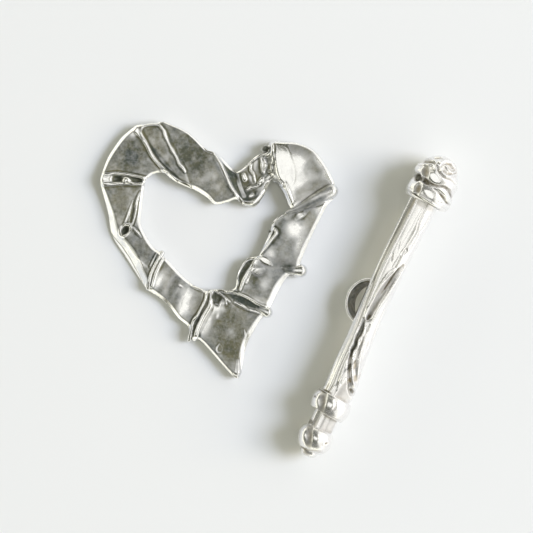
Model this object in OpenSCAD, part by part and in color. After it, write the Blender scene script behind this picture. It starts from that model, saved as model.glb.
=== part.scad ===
// Toggle clasp of folded and wrapped silver sheet: a heart-shaped ring and a rolled bar with a chain
// loop, lying open side by side. Underside on z = 0, heart on the left, bar on the right.

/* [Heart ring] */
// Width of the heart over its two lobes
heart_w = 28.2; // [24:0.1:34]
// Height of the heart from its lobes down to its point
heart_h = 30.2; // [26:0.1:36]
// Height of the silver at its thickest folds
heart_t = 2.4; // [1.8:0.1:3.2]
// Width of the rounded edge along both sides of the band
edge_w = 0.5; // [0.3:0.05:0.7]
// Radius of the raised folds that cross the band
fold_r = 0.25; // [0.18:0.01:0.32]

/* [Toggle bar] */
// Length of the bar from its tip to the top of its knob
bar_l = 38.7; // [34:0.1:44]
// Radius of the rolled shaft
shaft_r = 1.7; // [1.4:0.05:1.9]
// Radius of the wrapped knob at the top end
knob_r = 2.85; // [2.5:0.05:3.1]
// Length of the wrapped knob
knob_l = 6.2; // [5.6:0.1:6.8]
// Radius of the bead at the lower end of the shaft
bead_r = 2.4; // [2.2:0.05:2.6]
// Length of that bead
bead_l = 2.6; // [2.2:0.1:3]
// Radius of the end bead
end_bead_r = 2.15; // [1.9:0.05:2.2]
// Length of the end bead
end_bead_l = 3.1; // [2.7:0.1:3.4]
// Radius of the neck between the two beads
neck_r = 1.4; // [1.1:0.05:1.7]
// Length of the neck that shows between the two beads
neck_l = 1.5; // [1.1:0.1:1.9]
// Radius of the small tip past the end bead
tip_r = 1.15; // [0.9:0.05:1.4]
// Length of the tip that shows past the end bead
tip_l = 0.75; // [0.5:0.05:1]
// Depth of the torn seam in the shaft
seam_d = 0.35; // [0.2:0.05:0.5]

/* [Chain loop] */
// Outer radius of the soldered loop
loop_r = 2.9; // [2.6:0.05:3.2]
// Thickness of the loop's strip
loop_wall = 0.5; // [0.4:0.05:0.65]
// Width of the loop's strip
loop_w = 2.3; // [1.9:0.1:2.6]
// How far the loop stands out from the bar's axis
loop_reach = 3.7; // [3.4:0.05:3.9]

/* [Layout] */
// From the heart's right side to the middle of the bar
bar_dx = 4.2; // [3.6:0.1:7]
// How far the middle of the bar lies below the middle of the heart
bar_dy = 6.5; // [0:0.1:9]
// Lean of the bar, clockwise from upright
bar_lean = 25; // [20:0.5:30]

/* [Hidden] */
silver = [0.78, 0.78, 0.75];
bright_silver = [0.86, 0.86, 0.84];

// Parts of the heart's outline are given on a grid of 240 by 256 over its width and height.
GRID_X = 240;
GRID_Y = 256;
STEPS = 3; // sections drawn for each row of the table
ROUND = 8; // sides of a raised fold

// A row for each section of the band, clockwise from the point: outer edge x and y, inner edge x
// and y, then the height of the silver near the outer edge, in the middle and near the inner edge,
// as shares of heart_t.
heart_rows = [
    [136, 1, 125, 88.5, 0.60, 0.50, 0.60],       // point
    [127, 9, 121, 89.5, 0.55, 0.50, 0.60],
    [103, 36, 114, 89.5, 0.55, 0.55, 0.62],
    [96, 40, 110.5, 89, 0.70, 0.74, 0.72],       // thick lower-left fold
    [93, 39.5, 108, 88.5, 0.55, 0.58, 0.60],
    [90, 40, 106, 88, 0.66, 0.70, 0.70],         // thin fold beside it
    [88, 52, 102, 90.5, 0.50, 0.48, 0.56],
    [78, 61, 95, 93, 0.50, 0.52, 0.54],
    [66, 76, 83, 102, 0.46, 0.40, 0.50],         // hollow panel
    [52, 86, 67, 119, 0.54, 0.52, 0.56],
    [47, 89, 59, 127, 0.66, 0.70, 0.70],         // left fold
    [42, 96, 53, 131.5, 0.50, 0.55, 0.60],
    [26, 121, 46, 142, 0.44, 0.56, 0.60],
    [12, 143, 40.5, 155, 0.44, 0.60, 0.64],
    [8, 165, 41.5, 169, 0.48, 0.62, 0.70],
    [3, 184, 43.5, 187, 0.52, 0.58, 0.66],
    [0.5, 194, 44.5, 193.5, 0.60, 0.60, 0.64],   // double band across the left side
    [1, 202, 46, 198, 0.62, 0.60, 0.64],
    [8, 221, 53, 204, 0.56, 0.60, 0.64],         // left lobe's first panel
    [20, 239, 63, 205.5, 0.56, 0.60, 0.66],
    [29, 247.5, 69.5, 200.5, 0.60, 0.64, 0.66],
    [33, 250.5, 75, 197, 0.76, 0.80, 0.76],      // long fold down the left lobe
    [38, 253, 79.5, 194.5, 0.70, 0.74, 0.72],
    [60, 256, 91, 189.5, 0.70, 0.76, 0.72],      // raised strip
    [66, 255.3, 94, 188.7, 0.62, 0.64, 0.66],
    [88, 245, 106.5, 181, 0.60, 0.58, 0.66],
    [105, 229.5, 115, 174, 0.66, 0.62, 0.66],
    [112, 226.5, 127, 176, 0.72, 0.74, 0.70],
    [115, 225.8, 136, 179, 0.82, 0.86, 0.80],    // fold beside the cleft
    [120, 222, 142, 174, 0.60, 0.66, 0.70],
    [133, 208.5, 152, 171, 0.56, 0.56, 0.66],    // dark fold in the cleft
    [140, 208, 158, 174.5, 0.58, 0.62, 0.66],
    [155, 221.5, 166.5, 188, 0.60, 0.66, 0.66],  // crumpled stretch
    [165, 226.5, 170.5, 196.5, 0.60, 0.56, 0.50],
    [170.5, 236, 177.5, 194, 0.72, 0.80, 0.72],
    [182, 236.5, 184, 184.5, 0.74, 0.96, 0.84],  // smooth right lobe
    [199, 234.3, 188, 174, 0.70, 1.00, 0.88],
    [215, 226, 189.8, 170.8, 0.66, 0.96, 0.86],
    [228, 208, 190.3, 168.6, 0.62, 0.84, 0.80],
    [234.5, 194.5, 189, 167.5, 0.62, 0.72, 0.74],
    [238.5, 188, 186, 166, 0.80, 0.84, 0.80],    // rolled wrap
    [235, 179.5, 180, 162.5, 0.62, 0.74, 0.70],
    [227, 173, 174, 158, 0.56, 0.82, 0.66],
    [213, 146, 175.5, 145, 0.52, 0.86, 0.62],    // smooth right limb
    [201, 119, 162, 127.5, 0.54, 0.78, 0.66],
    [205, 109.5, 157, 122.5, 0.70, 0.80, 0.74],  // wire wrap
    [189, 104, 146, 119.5, 0.56, 0.74, 0.66],
    [181, 93, 138, 106.5, 0.52, 0.66, 0.70],     // hollow stretch with a curled flap
    [172, 76, 135.5, 93, 0.54, 0.64, 0.70],
    [173, 69, 133, 90, 0.74, 0.78, 0.74],        // flat wrap
    [158, 56, 129.7, 89, 0.54, 0.60, 0.66],
    [146, 33, 127.7, 88.7, 0.54, 0.52, 0.62],
    [140.3, 6, 125.9, 88.5, 0.58, 0.50, 0.60]
];

// Raised folds, wires and nubs on the heart. Each is a chain of points: grid x and y, height as a
// share of heart_t, and radius as a share of fold_r.
heart_folds = [
    // Long fold down the left lobe, the strip beside it, and the fold beside the cleft
    [[35, 250, 0.68, 1.3], [42, 238, 0.76, 1.1], [57, 216.5, 0.70, 1.1], [63, 209, 0.68, 1.0],
        [70, 203, 0.66, 0.9], [79, 196.5, 0.64, 0.8]],
    [[64, 252, 0.64, 0.7], [66, 241, 0.74, 0.7], [77, 221, 0.75, 0.7], [85, 201, 0.74, 0.7],
        [91, 192, 0.64, 0.7]],
    [[114, 225, 0.66, 1.0], [122, 213, 0.79, 1.0], [130, 198, 0.76, 1.0], [138, 183, 0.73, 0.9],
        [142, 176, 0.63, 0.8]],
    // Double band across the left side, with the pinch between its lines
    [[4, 204, 0.56, 0.9], [28, 204, 0.62, 0.7], [45, 200, 0.58, 0.7]],
    [[3, 194, 0.54, 0.9], [22, 195, 0.62, 0.8], [43, 194, 0.54, 0.7]],
    [[24, 198, 0.62, 1.2], [31, 197, 0.62, 1.1]],
    [[2, 199, 0.56, 1.4], [8, 199, 0.60, 1.2]],
    // Curled creases and the small pit below them
    [[20, 154, 0.58, 0.9], [28, 163, 0.65, 0.9], [33, 178, 0.65, 0.7]],
    [[33, 158, 0.65, 0.8], [35, 170, 0.68, 0.8], [39, 183, 0.64, 0.6]],
    [[20, 144, 0.54, 0.7], [24, 153, 0.62, 0.7], [30, 156, 0.64, 0.7], [30, 149, 0.62, 0.7],
        [25, 143, 0.58, 0.7], [20, 144, 0.54, 0.7]],
    // Folds across the lower left side and beside the point
    [[48, 91, 0.60, 1.1], [50, 108, 0.68, 1.2], [57, 125, 0.65, 1.1]],
    [[106, 86, 0.60, 0.7], [102, 72, 0.67, 0.8], [95, 60, 0.66, 0.8], [91, 42, 0.58, 0.9]],
    [[110, 85, 0.66, 1.0], [107, 73, 0.72, 1.3], [100, 59, 0.69, 1.3], [97, 43, 0.65, 1.2]],
    // Flat wrap with its nub, and the wire wrap with its nub
    [[123, 86, 0.62, 0.8], [148, 82, 0.78, 0.9], [168, 74, 0.70, 0.9]],
    [[118, 85, 0.60, 0.7], [138, 75, 0.62, 0.7], [164, 66, 0.64, 0.9]],
    [[168, 68, 0.56, 2.3], [162, 70, 0.64, 1.4]],
    [[158, 119, 0.70, 1.1], [182, 111, 0.78, 1.4], [200, 108, 0.60, 1.9]],
    // Curled flap on the inner side, with its two edges
    [[152, 119, 0.62, 0.8], [144, 112.5, 0.62, 0.8], [140, 103.5, 0.62, 0.8], [138, 92, 0.62, 0.8]],
    [[156, 118, 0.72, 0.7], [148, 110, 0.74, 0.8], [145, 98, 0.72, 0.8], [143, 87, 0.68, 0.7]],
    // Rolled wrap with its round end
    [[188, 166.5, 0.72, 1.4], [210, 177, 0.86, 1.8], [234, 187, 0.74, 2.2]],
    // Crumpled stretch: its small ball, rim, creases and lumps
    [[166, 229.5, 0.50, 1.5], [163, 221, 0.54, 1.0]],
    [[171, 232, 0.62, 1.0], [171, 227, 0.68, 0.9], [164, 221, 0.58, 0.8]],
    [[152, 214, 0.60, 0.8], [151, 206, 0.65, 0.8], [154, 197, 0.65, 0.7]],
    [[146, 188, 0.60, 0.8], [158, 194, 0.66, 0.8]],
    [[144, 177, 0.64, 0.9], [152, 175, 0.60, 0.9], [163, 187, 0.58, 0.9]],
    [[161, 213, 0.56, 2.2], [162, 208, 0.56, 2.0]],
    [[146, 205, 0.54, 1.8], [147, 201, 0.54, 1.7]],
    // Left edge of the smooth lobe, and a small ball on the inner side below it
    [[172, 233, 0.66, 1.0], [175, 218, 0.78, 1.0], [184, 191, 0.80, 0.9], [190.5, 175, 0.78, 0.8]],
    [[172, 146, 0.50, 1.0], [179, 147, 0.58, 0.8]]
];

// Rows along the shaft: place along the bar, sideways bow and radius, as shares of bar_l and shaft_r.
shaft_rows = [
    [0.18, 0.00, 1.05],
    [0.23, 0.08, 1.12],
    [0.30, -0.03, 1.02],
    [0.38, -0.08, 0.94],
    [0.50, -0.18, 0.93],
    [0.62, -0.22, 0.96],
    [0.75, -0.14, 1.00],
    [0.88, -0.08, 1.04]
];
SHAFT_SIDES = 28;
RIM_SIDES = 28; // sides of the beads and of the knob's wraps, seen along the bar
WRAP_SIDES = 10; // sides of a wrap's round section
BEAD_SIDES = 16; // sides of a bead's round section
OVAL_SIDES = 24;
LOOP_SIDES = 48;

// Seams cut into the shaft: place along the bar as a share of bar_l, angle round the shaft from its
// left side over the top, and width as a share of seam_d.
shaft_seams = [
    [[0.652, 138, 0.5], [0.581, 116, 0.8], [0.508, 96, 0.8], [0.452, 84, 0.9], [0.393, 62, 1.2],
        [0.341, 70, 1.2], [0.280, 92, 1.2], [0.234, 130, 0.9]],
    [[0.840, 40, 0.5], [0.700, 38, 0.5], [0.560, 36, 0.5], [0.440, 38, 0.5], [0.300, 44, 0.5]],
    [[0.833, 104, 0.4], [0.752, 117, 0.4], [0.682, 112, 0.4]]
];

// Rolled lips beside the torn seam, in the same columns but with the radius as a share of fold_r.
shaft_lips = [
    [[0.665, 146, 0.7], [0.581, 126, 0.9], [0.508, 107, 0.9], [0.452, 96, 0.9], [0.393, 84, 0.8],
        [0.341, 92, 0.9], [0.282, 116, 1.0], [0.225, 142, 1.1]],
    [[0.581, 104, 0.6], [0.508, 84, 0.8], [0.452, 70, 0.8], [0.400, 46, 0.7]],
    [[0.840, 24, 0.8], [0.700, 24, 0.8], [0.560, 24, 0.8], [0.440, 26, 0.8], [0.300, 30, 0.7]]
];

// The knob's wraps: place and thickness as shares of knob_l, reach and shift to the left as shares of
// knob_r, and tilt.
knob_wraps = [
    [0.17, 0.32, 0.99, 0.01, 7],
    [0.50, 0.36, 0.95, 0.06, -9],
    [0.78, 0.30, 0.72, 0.10, 12],
    [0.90, 0.20, 0.43, 0.09, -6]
];

KNOB_CORE = 0.78; // radius of the knob's core under its wraps, as a share of knob_r
LIP_SEAT = 0.97; // how far out the lips' middle lines run, as a share of the shaft's radius
NECK_SIDES = 8; // the neck is a folded strip with flat sides
loop_at = 0.50; // the loop's place along the bar, as a share of bar_l
end_bead_at = tip_l + end_bead_l / 2;
bead_at = tip_l + end_bead_l + neck_l + bead_l / 2;
knob_at = bar_l - knob_l;
knob_rest_at = knob_at + knob_l * knob_wraps[0][0];

// The bar rests on its bead, its knob and the loop, so its axis rises towards the larger knob.
bar_pitch = asin((knob_r - bead_r) / (knob_rest_at - bead_at));
function axis_z(along) = bead_r + (along - bead_at) * sin(bar_pitch);
loop_dip = asin(min(1, axis_z(bar_l * loop_at) / norm([loop_reach, loop_w / 2])))
    - atan2(loop_w / 2, loop_reach);

// The whole clasp is centred on the origin.
bar_x = heart_w / 2 + bar_dx;
knob_out = bar_l / 2 - knob_l * (1 - knob_wraps[0][0]);
all_right = bar_x + knob_out * sin(bar_lean) + knob_r;
all_top = max(heart_h / 2, bar_l / 2 * cos(bar_lean) - bar_dy);
all_low = min(-heart_h / 2, -bar_l / 2 * cos(bar_lean) - bar_dy);
mid_x = (all_right - heart_w / 2) / 2;
mid_y = (all_top + all_low) / 2;

function heart_point(x, y, z) = [
    heart_w * (x / GRID_X - 0.5),
    heart_h * (y / GRID_Y - 0.5),
    heart_t * z
];

// A smooth curve through four neighbouring rows, at share s of the way from b to c.
function between(a, b, c, d, s) =
    b + (c - a) * s / 2 + (2 * a - 5 * b + 4 * c - d) * s * s / 2 + (3 * b - a - 3 * c + d) * s * s * s / 2;

function smooth_ring(rows, steps) = [
    for (i = [0 : len(rows) - 1], k = [0 : steps - 1])
        between(rows[(i + len(rows) - 1) % len(rows)], rows[i], rows[(i + 1) % len(rows)],
            rows[(i + 2) % len(rows)], k / steps)
];

function smooth_line(rows, steps) = [
    for (i = [0 : len(rows) - 2], k = [0 : (i == len(rows) - 2 ? steps : steps - 1)])
        between(rows[max(0, i - 1)], rows[i], rows[i + 1], rows[min(len(rows) - 1, i + 2)], k / steps)
];

function top_height(row, a) =
    row[4] * (1 - a) * (1 - 2 * a) + row[5] * 4 * a * (1 - a) + row[6] * a * (2 * a - 1);

// One section of the band: up the outer side, over the top and down the inner side.
function band_section(row) =
    let (
        outer = heart_point(row[0], row[1], 0),
        inner = heart_point(row[2], row[3], 0),
        width = norm(inner - outer),
        edge = min(edge_w / width, 0.2),
        insets = [
            [edge * 0.6, 0], [0, 0.35], [edge * 0.25, 0.8], [edge, 1], [0.25, 1], [0.5, 1],
            [0.75, 1], [1 - edge, 1], [1 - edge * 0.25, 0.8], [1, 0.35], [1 - edge * 0.6, 0]
        ]
    )
    [for (p = insets) outer + (inner - outer) * p[0] + [0, 0, heart_t * p[1] * top_height(row, p[0])]];

// Faces of a tube of equal sections; a closed one joins its last section to its first.
function tube_faces(sections, sides, closed) = [
    for (i = [0 : sections - (closed ? 1 : 2)], j = [0 : sides - 1])
        let (n = (i + 1) % sections, k = (j + 1) % sides)
        each [
            [i * sides + j, n * sides + k, i * sides + k],
            [i * sides + j, n * sides + j, n * sides + k]
        ]
];

module heart_band() {
    sections = [for (row = smooth_ring(heart_rows, STEPS)) band_section(row)];
    sides = len(sections[0]);
    polyhedron([for (s = sections) each s], tube_faces(len(sections), sides, true));
}

// A raised fold or wire: round pieces joined from point to point.
module chain(points, radii) {
    for (i = [0 : len(points) - 2]) hull() {
        translate(points[i]) sphere(radii[i], $fn = ROUND);
        translate(points[i + 1]) sphere(radii[i + 1], $fn = ROUND);
    }
}

module heart_ring() {
    color(silver) translate([-mid_x, -mid_y, 0]) difference() {
        union() {
            heart_band();
            for (fold = heart_folds)
                chain([for (p = fold) heart_point(p[0], p[1], p[2])], [for (p = fold) fold_r * p[3]]);
        }
        translate([0, 0, -heart_t / 2]) cube([2 * heart_w, 2 * heart_h, heart_t], center = true);
    }
}

// The bow and radius of the shaft at a place along the bar.
function shaft_row(share) =
    let (i = max([0, for (k = [0 : len(shaft_rows) - 2]) if (shaft_rows[k][0] <= share) k]),
        a = shaft_rows[i], b = shaft_rows[i + 1])
    a + (b - a) * min(1, max(0, (share - a[0]) / (b[0] - a[0])));

function on_shaft(share, angle, out) =
    let (row = shaft_row(share), r = shaft_r * row[2] * out)
    [r * cos(angle) - shaft_r * row[1], r * sin(angle), bar_l * share];

module shaft() {
    rows = smooth_line(shaft_rows, STEPS);
    points = [
        for (row = rows, j = [0 : SHAFT_SIDES - 1])
            let (a = 360 * j / SHAFT_SIDES, r = shaft_r * row[2])
            [r * cos(a) - shaft_r * row[1], r * sin(a), bar_l * row[0]]
    ];
    ends = [
        [for (j = [0 : SHAFT_SIDES - 1]) j],
        [for (j = [SHAFT_SIDES - 1 : -1 : 0]) (len(rows) - 1) * SHAFT_SIDES + j]
    ];
    polyhedron(points, concat(tube_faces(len(rows), SHAFT_SIDES, false), ends));
}

// A round piece about the bar's axis: an oval one, or a roll with a full round rim.
module oval(at, r, l) {
    translate([0, 0, at]) scale([1, 1, l / 2 / r]) sphere(r, $fn = OVAL_SIDES);
}

module roll(at, r, l) {
    translate([0, 0, at]) rotate_extrude($fn = RIM_SIDES) intersection() {
        union() {
            translate([r - l / 2, 0]) circle(l / 2, $fn = BEAD_SIDES);
            translate([0, -l / 2]) square([max(0.1, r - l / 2), l]);
        }
        translate([0, -l]) square([2 * r, 2 * l]);
    }
}

module knob() {
    oval(knob_at + knob_l / 2, knob_r * KNOB_CORE, knob_l);
    for (w = knob_wraps) {
        half = min(knob_l * w[1], knob_r * w[2]) / 2;
        translate([knob_r * w[3], 0, knob_at + knob_l * w[0]]) rotate([0, w[4], 0])
            rotate_extrude($fn = RIM_SIDES) translate([knob_r * w[2] - half, 0])
                circle(half, $fn = WRAP_SIDES);
    }
}

module chain_loop() {
    ring_c = loop_reach - loop_r;
    translate([0, 0, bar_l * loop_at]) rotate([0, 0, -loop_dip]) intersection() {
        translate([ring_c, 0, 0]) rotate([-90, 0, 0]) difference() {
            cylinder(loop_w, loop_r, loop_r, center = true, $fn = LOOP_SIDES);
            cylinder(2 * loop_w, loop_r - loop_wall, loop_r - loop_wall, center = true, $fn = LOOP_SIDES);
        }
        translate([loop_reach, 0, 0]) cube([2 * loop_reach, 2 * loop_w, 3 * loop_r], center = true);
    }
}

module toggle_bar() {
    color(bright_silver) translate([bar_x - mid_x, -bar_dy - mid_y, axis_z(bar_l / 2)])
        rotate([90 - bar_pitch, 0, 180 - bar_lean]) translate([0, 0, -bar_l / 2]) {
            difference() {
                shaft();
                for (seam = shaft_seams)
                    chain([for (p = seam) on_shaft(p[0], p[1], 1)], [for (p = seam) seam_d * p[2]]);
            }
            for (lip = shaft_lips)
                chain([for (p = lip) on_shaft(p[0], p[1], LIP_SEAT)], [for (p = lip) fold_r * p[2]]);
            chain_loop();
            knob();
            roll(bead_at, bead_r, bead_l);
            roll(end_bead_at, end_bead_r, end_bead_l);
            oval(tip_l, tip_r, tip_l * 2);
            translate([0, 0, end_bead_at]) cylinder(bead_at - end_bead_at, neck_r, neck_r, $fn = NECK_SIDES);
        }
}

heart_ring();
toggle_bar();
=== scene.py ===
"""Looks of the toggle clasp: the folded heart-shaped ring and the rolled bar on a pale surface."""
import math

import bpy
import numpy as np
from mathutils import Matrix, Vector


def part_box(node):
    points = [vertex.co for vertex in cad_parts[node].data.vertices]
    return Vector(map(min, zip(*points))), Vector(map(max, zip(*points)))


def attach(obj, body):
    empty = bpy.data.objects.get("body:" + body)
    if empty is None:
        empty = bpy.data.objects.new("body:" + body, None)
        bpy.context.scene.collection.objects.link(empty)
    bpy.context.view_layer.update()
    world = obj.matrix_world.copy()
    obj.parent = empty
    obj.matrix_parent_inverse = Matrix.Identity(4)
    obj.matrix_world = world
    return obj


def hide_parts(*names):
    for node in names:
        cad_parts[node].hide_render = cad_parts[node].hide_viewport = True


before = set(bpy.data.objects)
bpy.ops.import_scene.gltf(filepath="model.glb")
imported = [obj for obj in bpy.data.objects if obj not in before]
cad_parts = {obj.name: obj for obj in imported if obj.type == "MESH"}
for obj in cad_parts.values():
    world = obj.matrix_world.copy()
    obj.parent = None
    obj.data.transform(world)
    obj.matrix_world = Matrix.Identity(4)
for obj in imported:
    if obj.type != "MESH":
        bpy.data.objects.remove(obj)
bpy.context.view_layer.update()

MM = 0.001
rng = np.random.default_rng(11)

# Sizes in millimetres, as in the construction.
HEART_W, HEART_H, HEART_T = 28.2, 30.2, 2.4
GRID_X, GRID_Y = 240, 256
HEART_UNIT = HEART_W / GRID_X
BAR_L, SHAFT_R = 38.7, 1.7
KNOB_R, KNOB_L = 2.85, 6.2
BEAD_R, BEAD_L = 2.4, 2.6
END_L, NECK_L, TIP_L = 3.1, 1.5, 0.75
LOOP_R, LOOP_WALL, LOOP_W, LOOP_REACH, LOOP_AT = 2.9, 0.5, 2.3, 3.7, 0.50
BAR_DX, BAR_DY, BAR_LEAN = 4.2, 6.5, 25
KNOB_REST = 0.17

BEAD_AT = TIP_L + END_L + NECK_L + BEAD_L / 2
KNOB_AT = BAR_L - KNOB_L
BAR_PITCH = math.asin((KNOB_R - BEAD_R) / (KNOB_AT + KNOB_L * KNOB_REST - BEAD_AT))


def axis_z(along):
    """How high the bar's axis lies at a place along it, in millimetres."""
    return BEAD_R + (along - BEAD_AT) * math.sin(BAR_PITCH)


# How far the loop's strip is turned down, in radians, so that its lower corner touches the floor
LOOP_DIP = (math.asin(axis_z(BAR_L * LOOP_AT) / math.hypot(LOOP_REACH, LOOP_W / 2))
            - math.atan2(LOOP_W / 2, LOOP_REACH))
BAR_X = HEART_W / 2 + BAR_DX
lean = math.radians(BAR_LEAN)
all_right = BAR_X + (BAR_L / 2 - KNOB_L * (1 - KNOB_REST)) * math.sin(lean) + KNOB_R
all_top = max(HEART_H / 2, BAR_L / 2 * math.cos(lean) - BAR_DY)
all_low = min(-HEART_H / 2, -BAR_L / 2 * math.cos(lean) - BAR_DY)
MID_X, MID_Y = (all_right - HEART_W / 2) / 2, (all_top + all_low) / 2

# The camera comes first: it looks straight down at the clasp.
VIEW_W = 62.4                       # what the picture shows, in millimetres
LENS, SENSOR = 200, 36
VIEW_X, VIEW_Y, VIEW_Z = -1.10, 2.61, 1.8
camera = bpy.data.objects.new("camera", bpy.data.cameras.new("camera"))
bpy.context.collection.objects.link(camera)
camera.data.lens, camera.data.sensor_width = LENS, SENSOR
camera.location = Vector((VIEW_X, VIEW_Y, VIEW_W * LENS / SENSOR + VIEW_Z)) * MM
camera.data.clip_start, camera.data.clip_end = 0.01, 5
bpy.context.scene.camera = camera


# Smooth curves, noise and raised or sunk forms

def spline(rows, steps, closed=False):
    """Smooth rows drawn through the rows of a table."""
    rows = np.array(rows, float)
    n = len(rows)
    t = np.linspace(0, 1, steps, endpoint=False)[:, None]
    out = []
    for i in range(n if closed else n - 1):
        if closed:
            a, b, c, d = rows[i - 1], rows[i], rows[(i + 1) % n], rows[(i + 2) % n]
        else:
            a, b, c, d = rows[max(0, i - 1)], rows[i], rows[i + 1], rows[min(n - 1, i + 2)]
        out.append(b + (c - a) * t / 2 + (2 * a - 5 * b + 4 * c - d) * t ** 2 / 2
                   + (3 * b - a - 3 * c + d) * t ** 3 / 2)
    if not closed:
        out.append(rows[-1:])
    return np.vstack(out)


def evenly(rows, count, closed, across=slice(0, 2)):
    """Rows spaced evenly along the curve that their place columns draw."""
    if closed:
        rows = np.vstack([rows, rows[:1]])
    step = np.linalg.norm(np.diff(rows[:, across], axis=0), axis=1)
    run = np.concatenate([[0], np.cumsum(step)])
    at = np.linspace(0, run[-1], count, endpoint=not closed)
    return np.stack([np.interp(at, run, rows[:, k]) for k in range(rows.shape[1])], axis=1)


lattice = rng.random((64, 64))


def noise(x, y, size, turn=0.0, stretch=1.0):
    """Smooth values from -1 to 1 that vary over the given size."""
    c, s = math.cos(turn), math.sin(turn)
    u, v = (x * c + y * s) / size / stretch + 17.3, (y * c - x * s) / size + 31.7
    i, j = np.floor(u).astype(int), np.floor(v).astype(int)
    f, g = u - i, v - j
    f, g = f * f * (3 - 2 * f), g * g * (3 - 2 * g)
    p = lattice[i % 64, j % 64] * (1 - f) + lattice[(i + 1) % 64, j % 64] * f
    q = lattice[i % 64, (j + 1) % 64] * (1 - f) + lattice[(i + 1) % 64, (j + 1) % 64] * f
    return 2 * (p * (1 - g) + q * g) - 1


def along_line(x, y, chain):
    """Distance to a chain, its other columns at the nearest place, and the side (left is positive)."""
    p = spline(chain, 5)
    best = np.full(x.shape, 1e9)
    values = np.zeros(x.shape + (p.shape[1] - 2,))
    side = np.ones(x.shape)
    for a, b in zip(p[:-1], p[1:]):
        ab = b[:2] - a[:2]
        length = ab @ ab
        if length < 1e-9:
            continue
        t = np.clip(((x - a[0]) * ab[0] + (y - a[1]) * ab[1]) / length, 0, 1)
        d = np.hypot(x - a[0] - t * ab[0], y - a[1] - t * ab[1])
        near = d < best
        best[near] = d[near]
        values[near] = (a[2:] + t[..., None] * (b[2:] - a[2:]))[near]
        side[near] = np.sign(ab[0] * (y - a[1]) - ab[1] * (x - a[0]))[near]
    return best, values, side


def fold(x, y, z, chain, sharp):
    """A raised or sunk line: chain columns are x, y, half width and lift."""
    d, v, _ = along_line(x, y, chain)
    t = d / np.maximum(v[..., 0], 1e-6)
    z += v[..., 1] * np.clip(1 - t * t, 0, None) ** sharp


def crest(x, y, z, chain, groove):
    """A fold with a flat top: chain columns are x, y, half width and lift."""
    d, v, _ = along_line(x, y, chain)
    t = d / np.maximum(v[..., 0], 1e-6)
    side = np.clip((1.15 - t) / 0.60, 0, 1)
    z += v[..., 1] * side * side * (3 - 2 * side)
    z -= groove * np.exp(-((t - 1.4) / 0.45) ** 2)


def overlap(x, y, z, chain, reach):
    """The edge of a sheet over its neighbour: columns x, y and height. The chain's left side is raised."""
    soft = 0.45
    d, v, side = along_line(x, y, chain)
    s = d * side
    z += v[..., 0] / (1 + np.exp(-np.clip(s / soft, -30, 30))) * np.exp(-np.maximum(s, 0) / reach)


def in_oval(x, y, cx, cy, rx, ry, turn):
    """Places on a turned oval's own axes, with its rim one unit from its middle."""
    c, s = math.cos(math.radians(turn)), math.sin(math.radians(turn))
    return ((x - cx) * c + (y - cy) * s) / rx, ((y - cy) * c - (x - cx) * s) / ry


def dent(x, y, z, row, power):
    """A smooth round rise or hollow: x, y, half width, half height, turn and height."""
    u, v = in_oval(x, y, *row[:5])
    z += row[5] * np.exp(-(u * u + v * v) ** power)


def facet(x, y, z, row):
    """A stretch beaten flat: x, y, half width, half height, turn, then its lean along x and y in degrees."""
    u, v = in_oval(x, y, *row[:5])
    share = np.exp(-(u * u + v * v) ** 1.3)
    slope = [-math.tan(math.radians(k)) * HEART_UNIT for k in row[5:]]
    plane = slope[0] * (x - row[0]) + slope[1] * (y - row[1])
    z += share * ((share * (z - plane)).sum() / share.sum() + plane - z)


def tint_oval(x, y, colour, row):
    """A tint laid over an oval, which is tarnish in some rows and in others painted shade, painted
    reflections and painted highlights: x, y, half width, half height, turn, tarnish and brownness.
    """
    u, v = in_oval(x, y, *row[:5])
    wobble = 0.25 * noise(x, y, 5.0) + 0.15 * noise(x, y, 2.3)
    share = np.clip(1.6 * np.exp(-(u * u + v * v) ** 1.5 * 1.2) * (1 + wobble) - 0.15, 0, 1)
    for k in (0, 1):
        colour[..., k] += (row[5 + k] - colour[..., k]) * share


def smoothed(z, times, closed0=True, closed1=False):
    """Values evened out with their neighbours, on a grid that may close on itself either way."""
    for _ in range(times):
        up, down = np.roll(z, 1, 0), np.roll(z, -1, 0)
        left, right = np.roll(z, 1, 1), np.roll(z, -1, 1)
        if not closed0:
            up[0], down[-1] = z[0], z[-1]
        if not closed1:
            left[:, 0], right[:, -1] = z[:, 0], z[:, -1]
        z = (2 * z + up + down + left + right) / 6
    return z


# Meshes

def grid_faces(n, m, wrap_n, wrap_m):
    """The four-sided faces of a grid of n by m points, which may close on itself either way."""
    i = np.arange(n if wrap_n else n - 1)
    j = np.arange(m if wrap_m else m - 1)
    i, j = np.meshgrid(i, j, indexing="ij")
    a, b = i * m + j, ((i + 1) % n) * m + j
    c, d = ((i + 1) % n) * m + (j + 1) % m, i * m + (j + 1) % m
    return np.stack([a, b, c, d], axis=-1).reshape(-1, 4)


def shell(points, wrap_n, wrap_m, cap=False):
    """Vertices and faces of a grid of points, with its open ends closed by a middle point each."""
    n, m = points.shape[:2]
    verts = points.reshape(-1, 3)
    faces = [tuple(f) for f in grid_faces(n, m, wrap_n, wrap_m)]
    if cap:
        verts = np.vstack([verts, points[0].mean(axis=0), points[-1].mean(axis=0)])
        lo, hi = n * m, n * m + 1
        for j in range(m):
            k = (j + 1) % m
            faces.append((lo, j, k))
            faces.append((hi, (n - 1) * m + k, (n - 1) * m + j))
    return verts, faces


def facing_out(verts, faces):
    """The faces of a closed shell, turned so that they face outwards."""
    total = 0.0
    for size in (3, 4):
        part = np.array([f for f in faces if len(f) == size], int)
        if len(part):
            a, b, c = verts[part[:, 0]], verts[part[:, 1]], verts[part[:, 2]]
            total += np.einsum("ij,ij->i", a, np.cross(b, c)).sum()
            if size == 4:
                total += np.einsum("ij,ij->i", a, np.cross(c, verts[part[:, 3]])).sum()
    return faces if total > 0 else [f[::-1] for f in faces]


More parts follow.
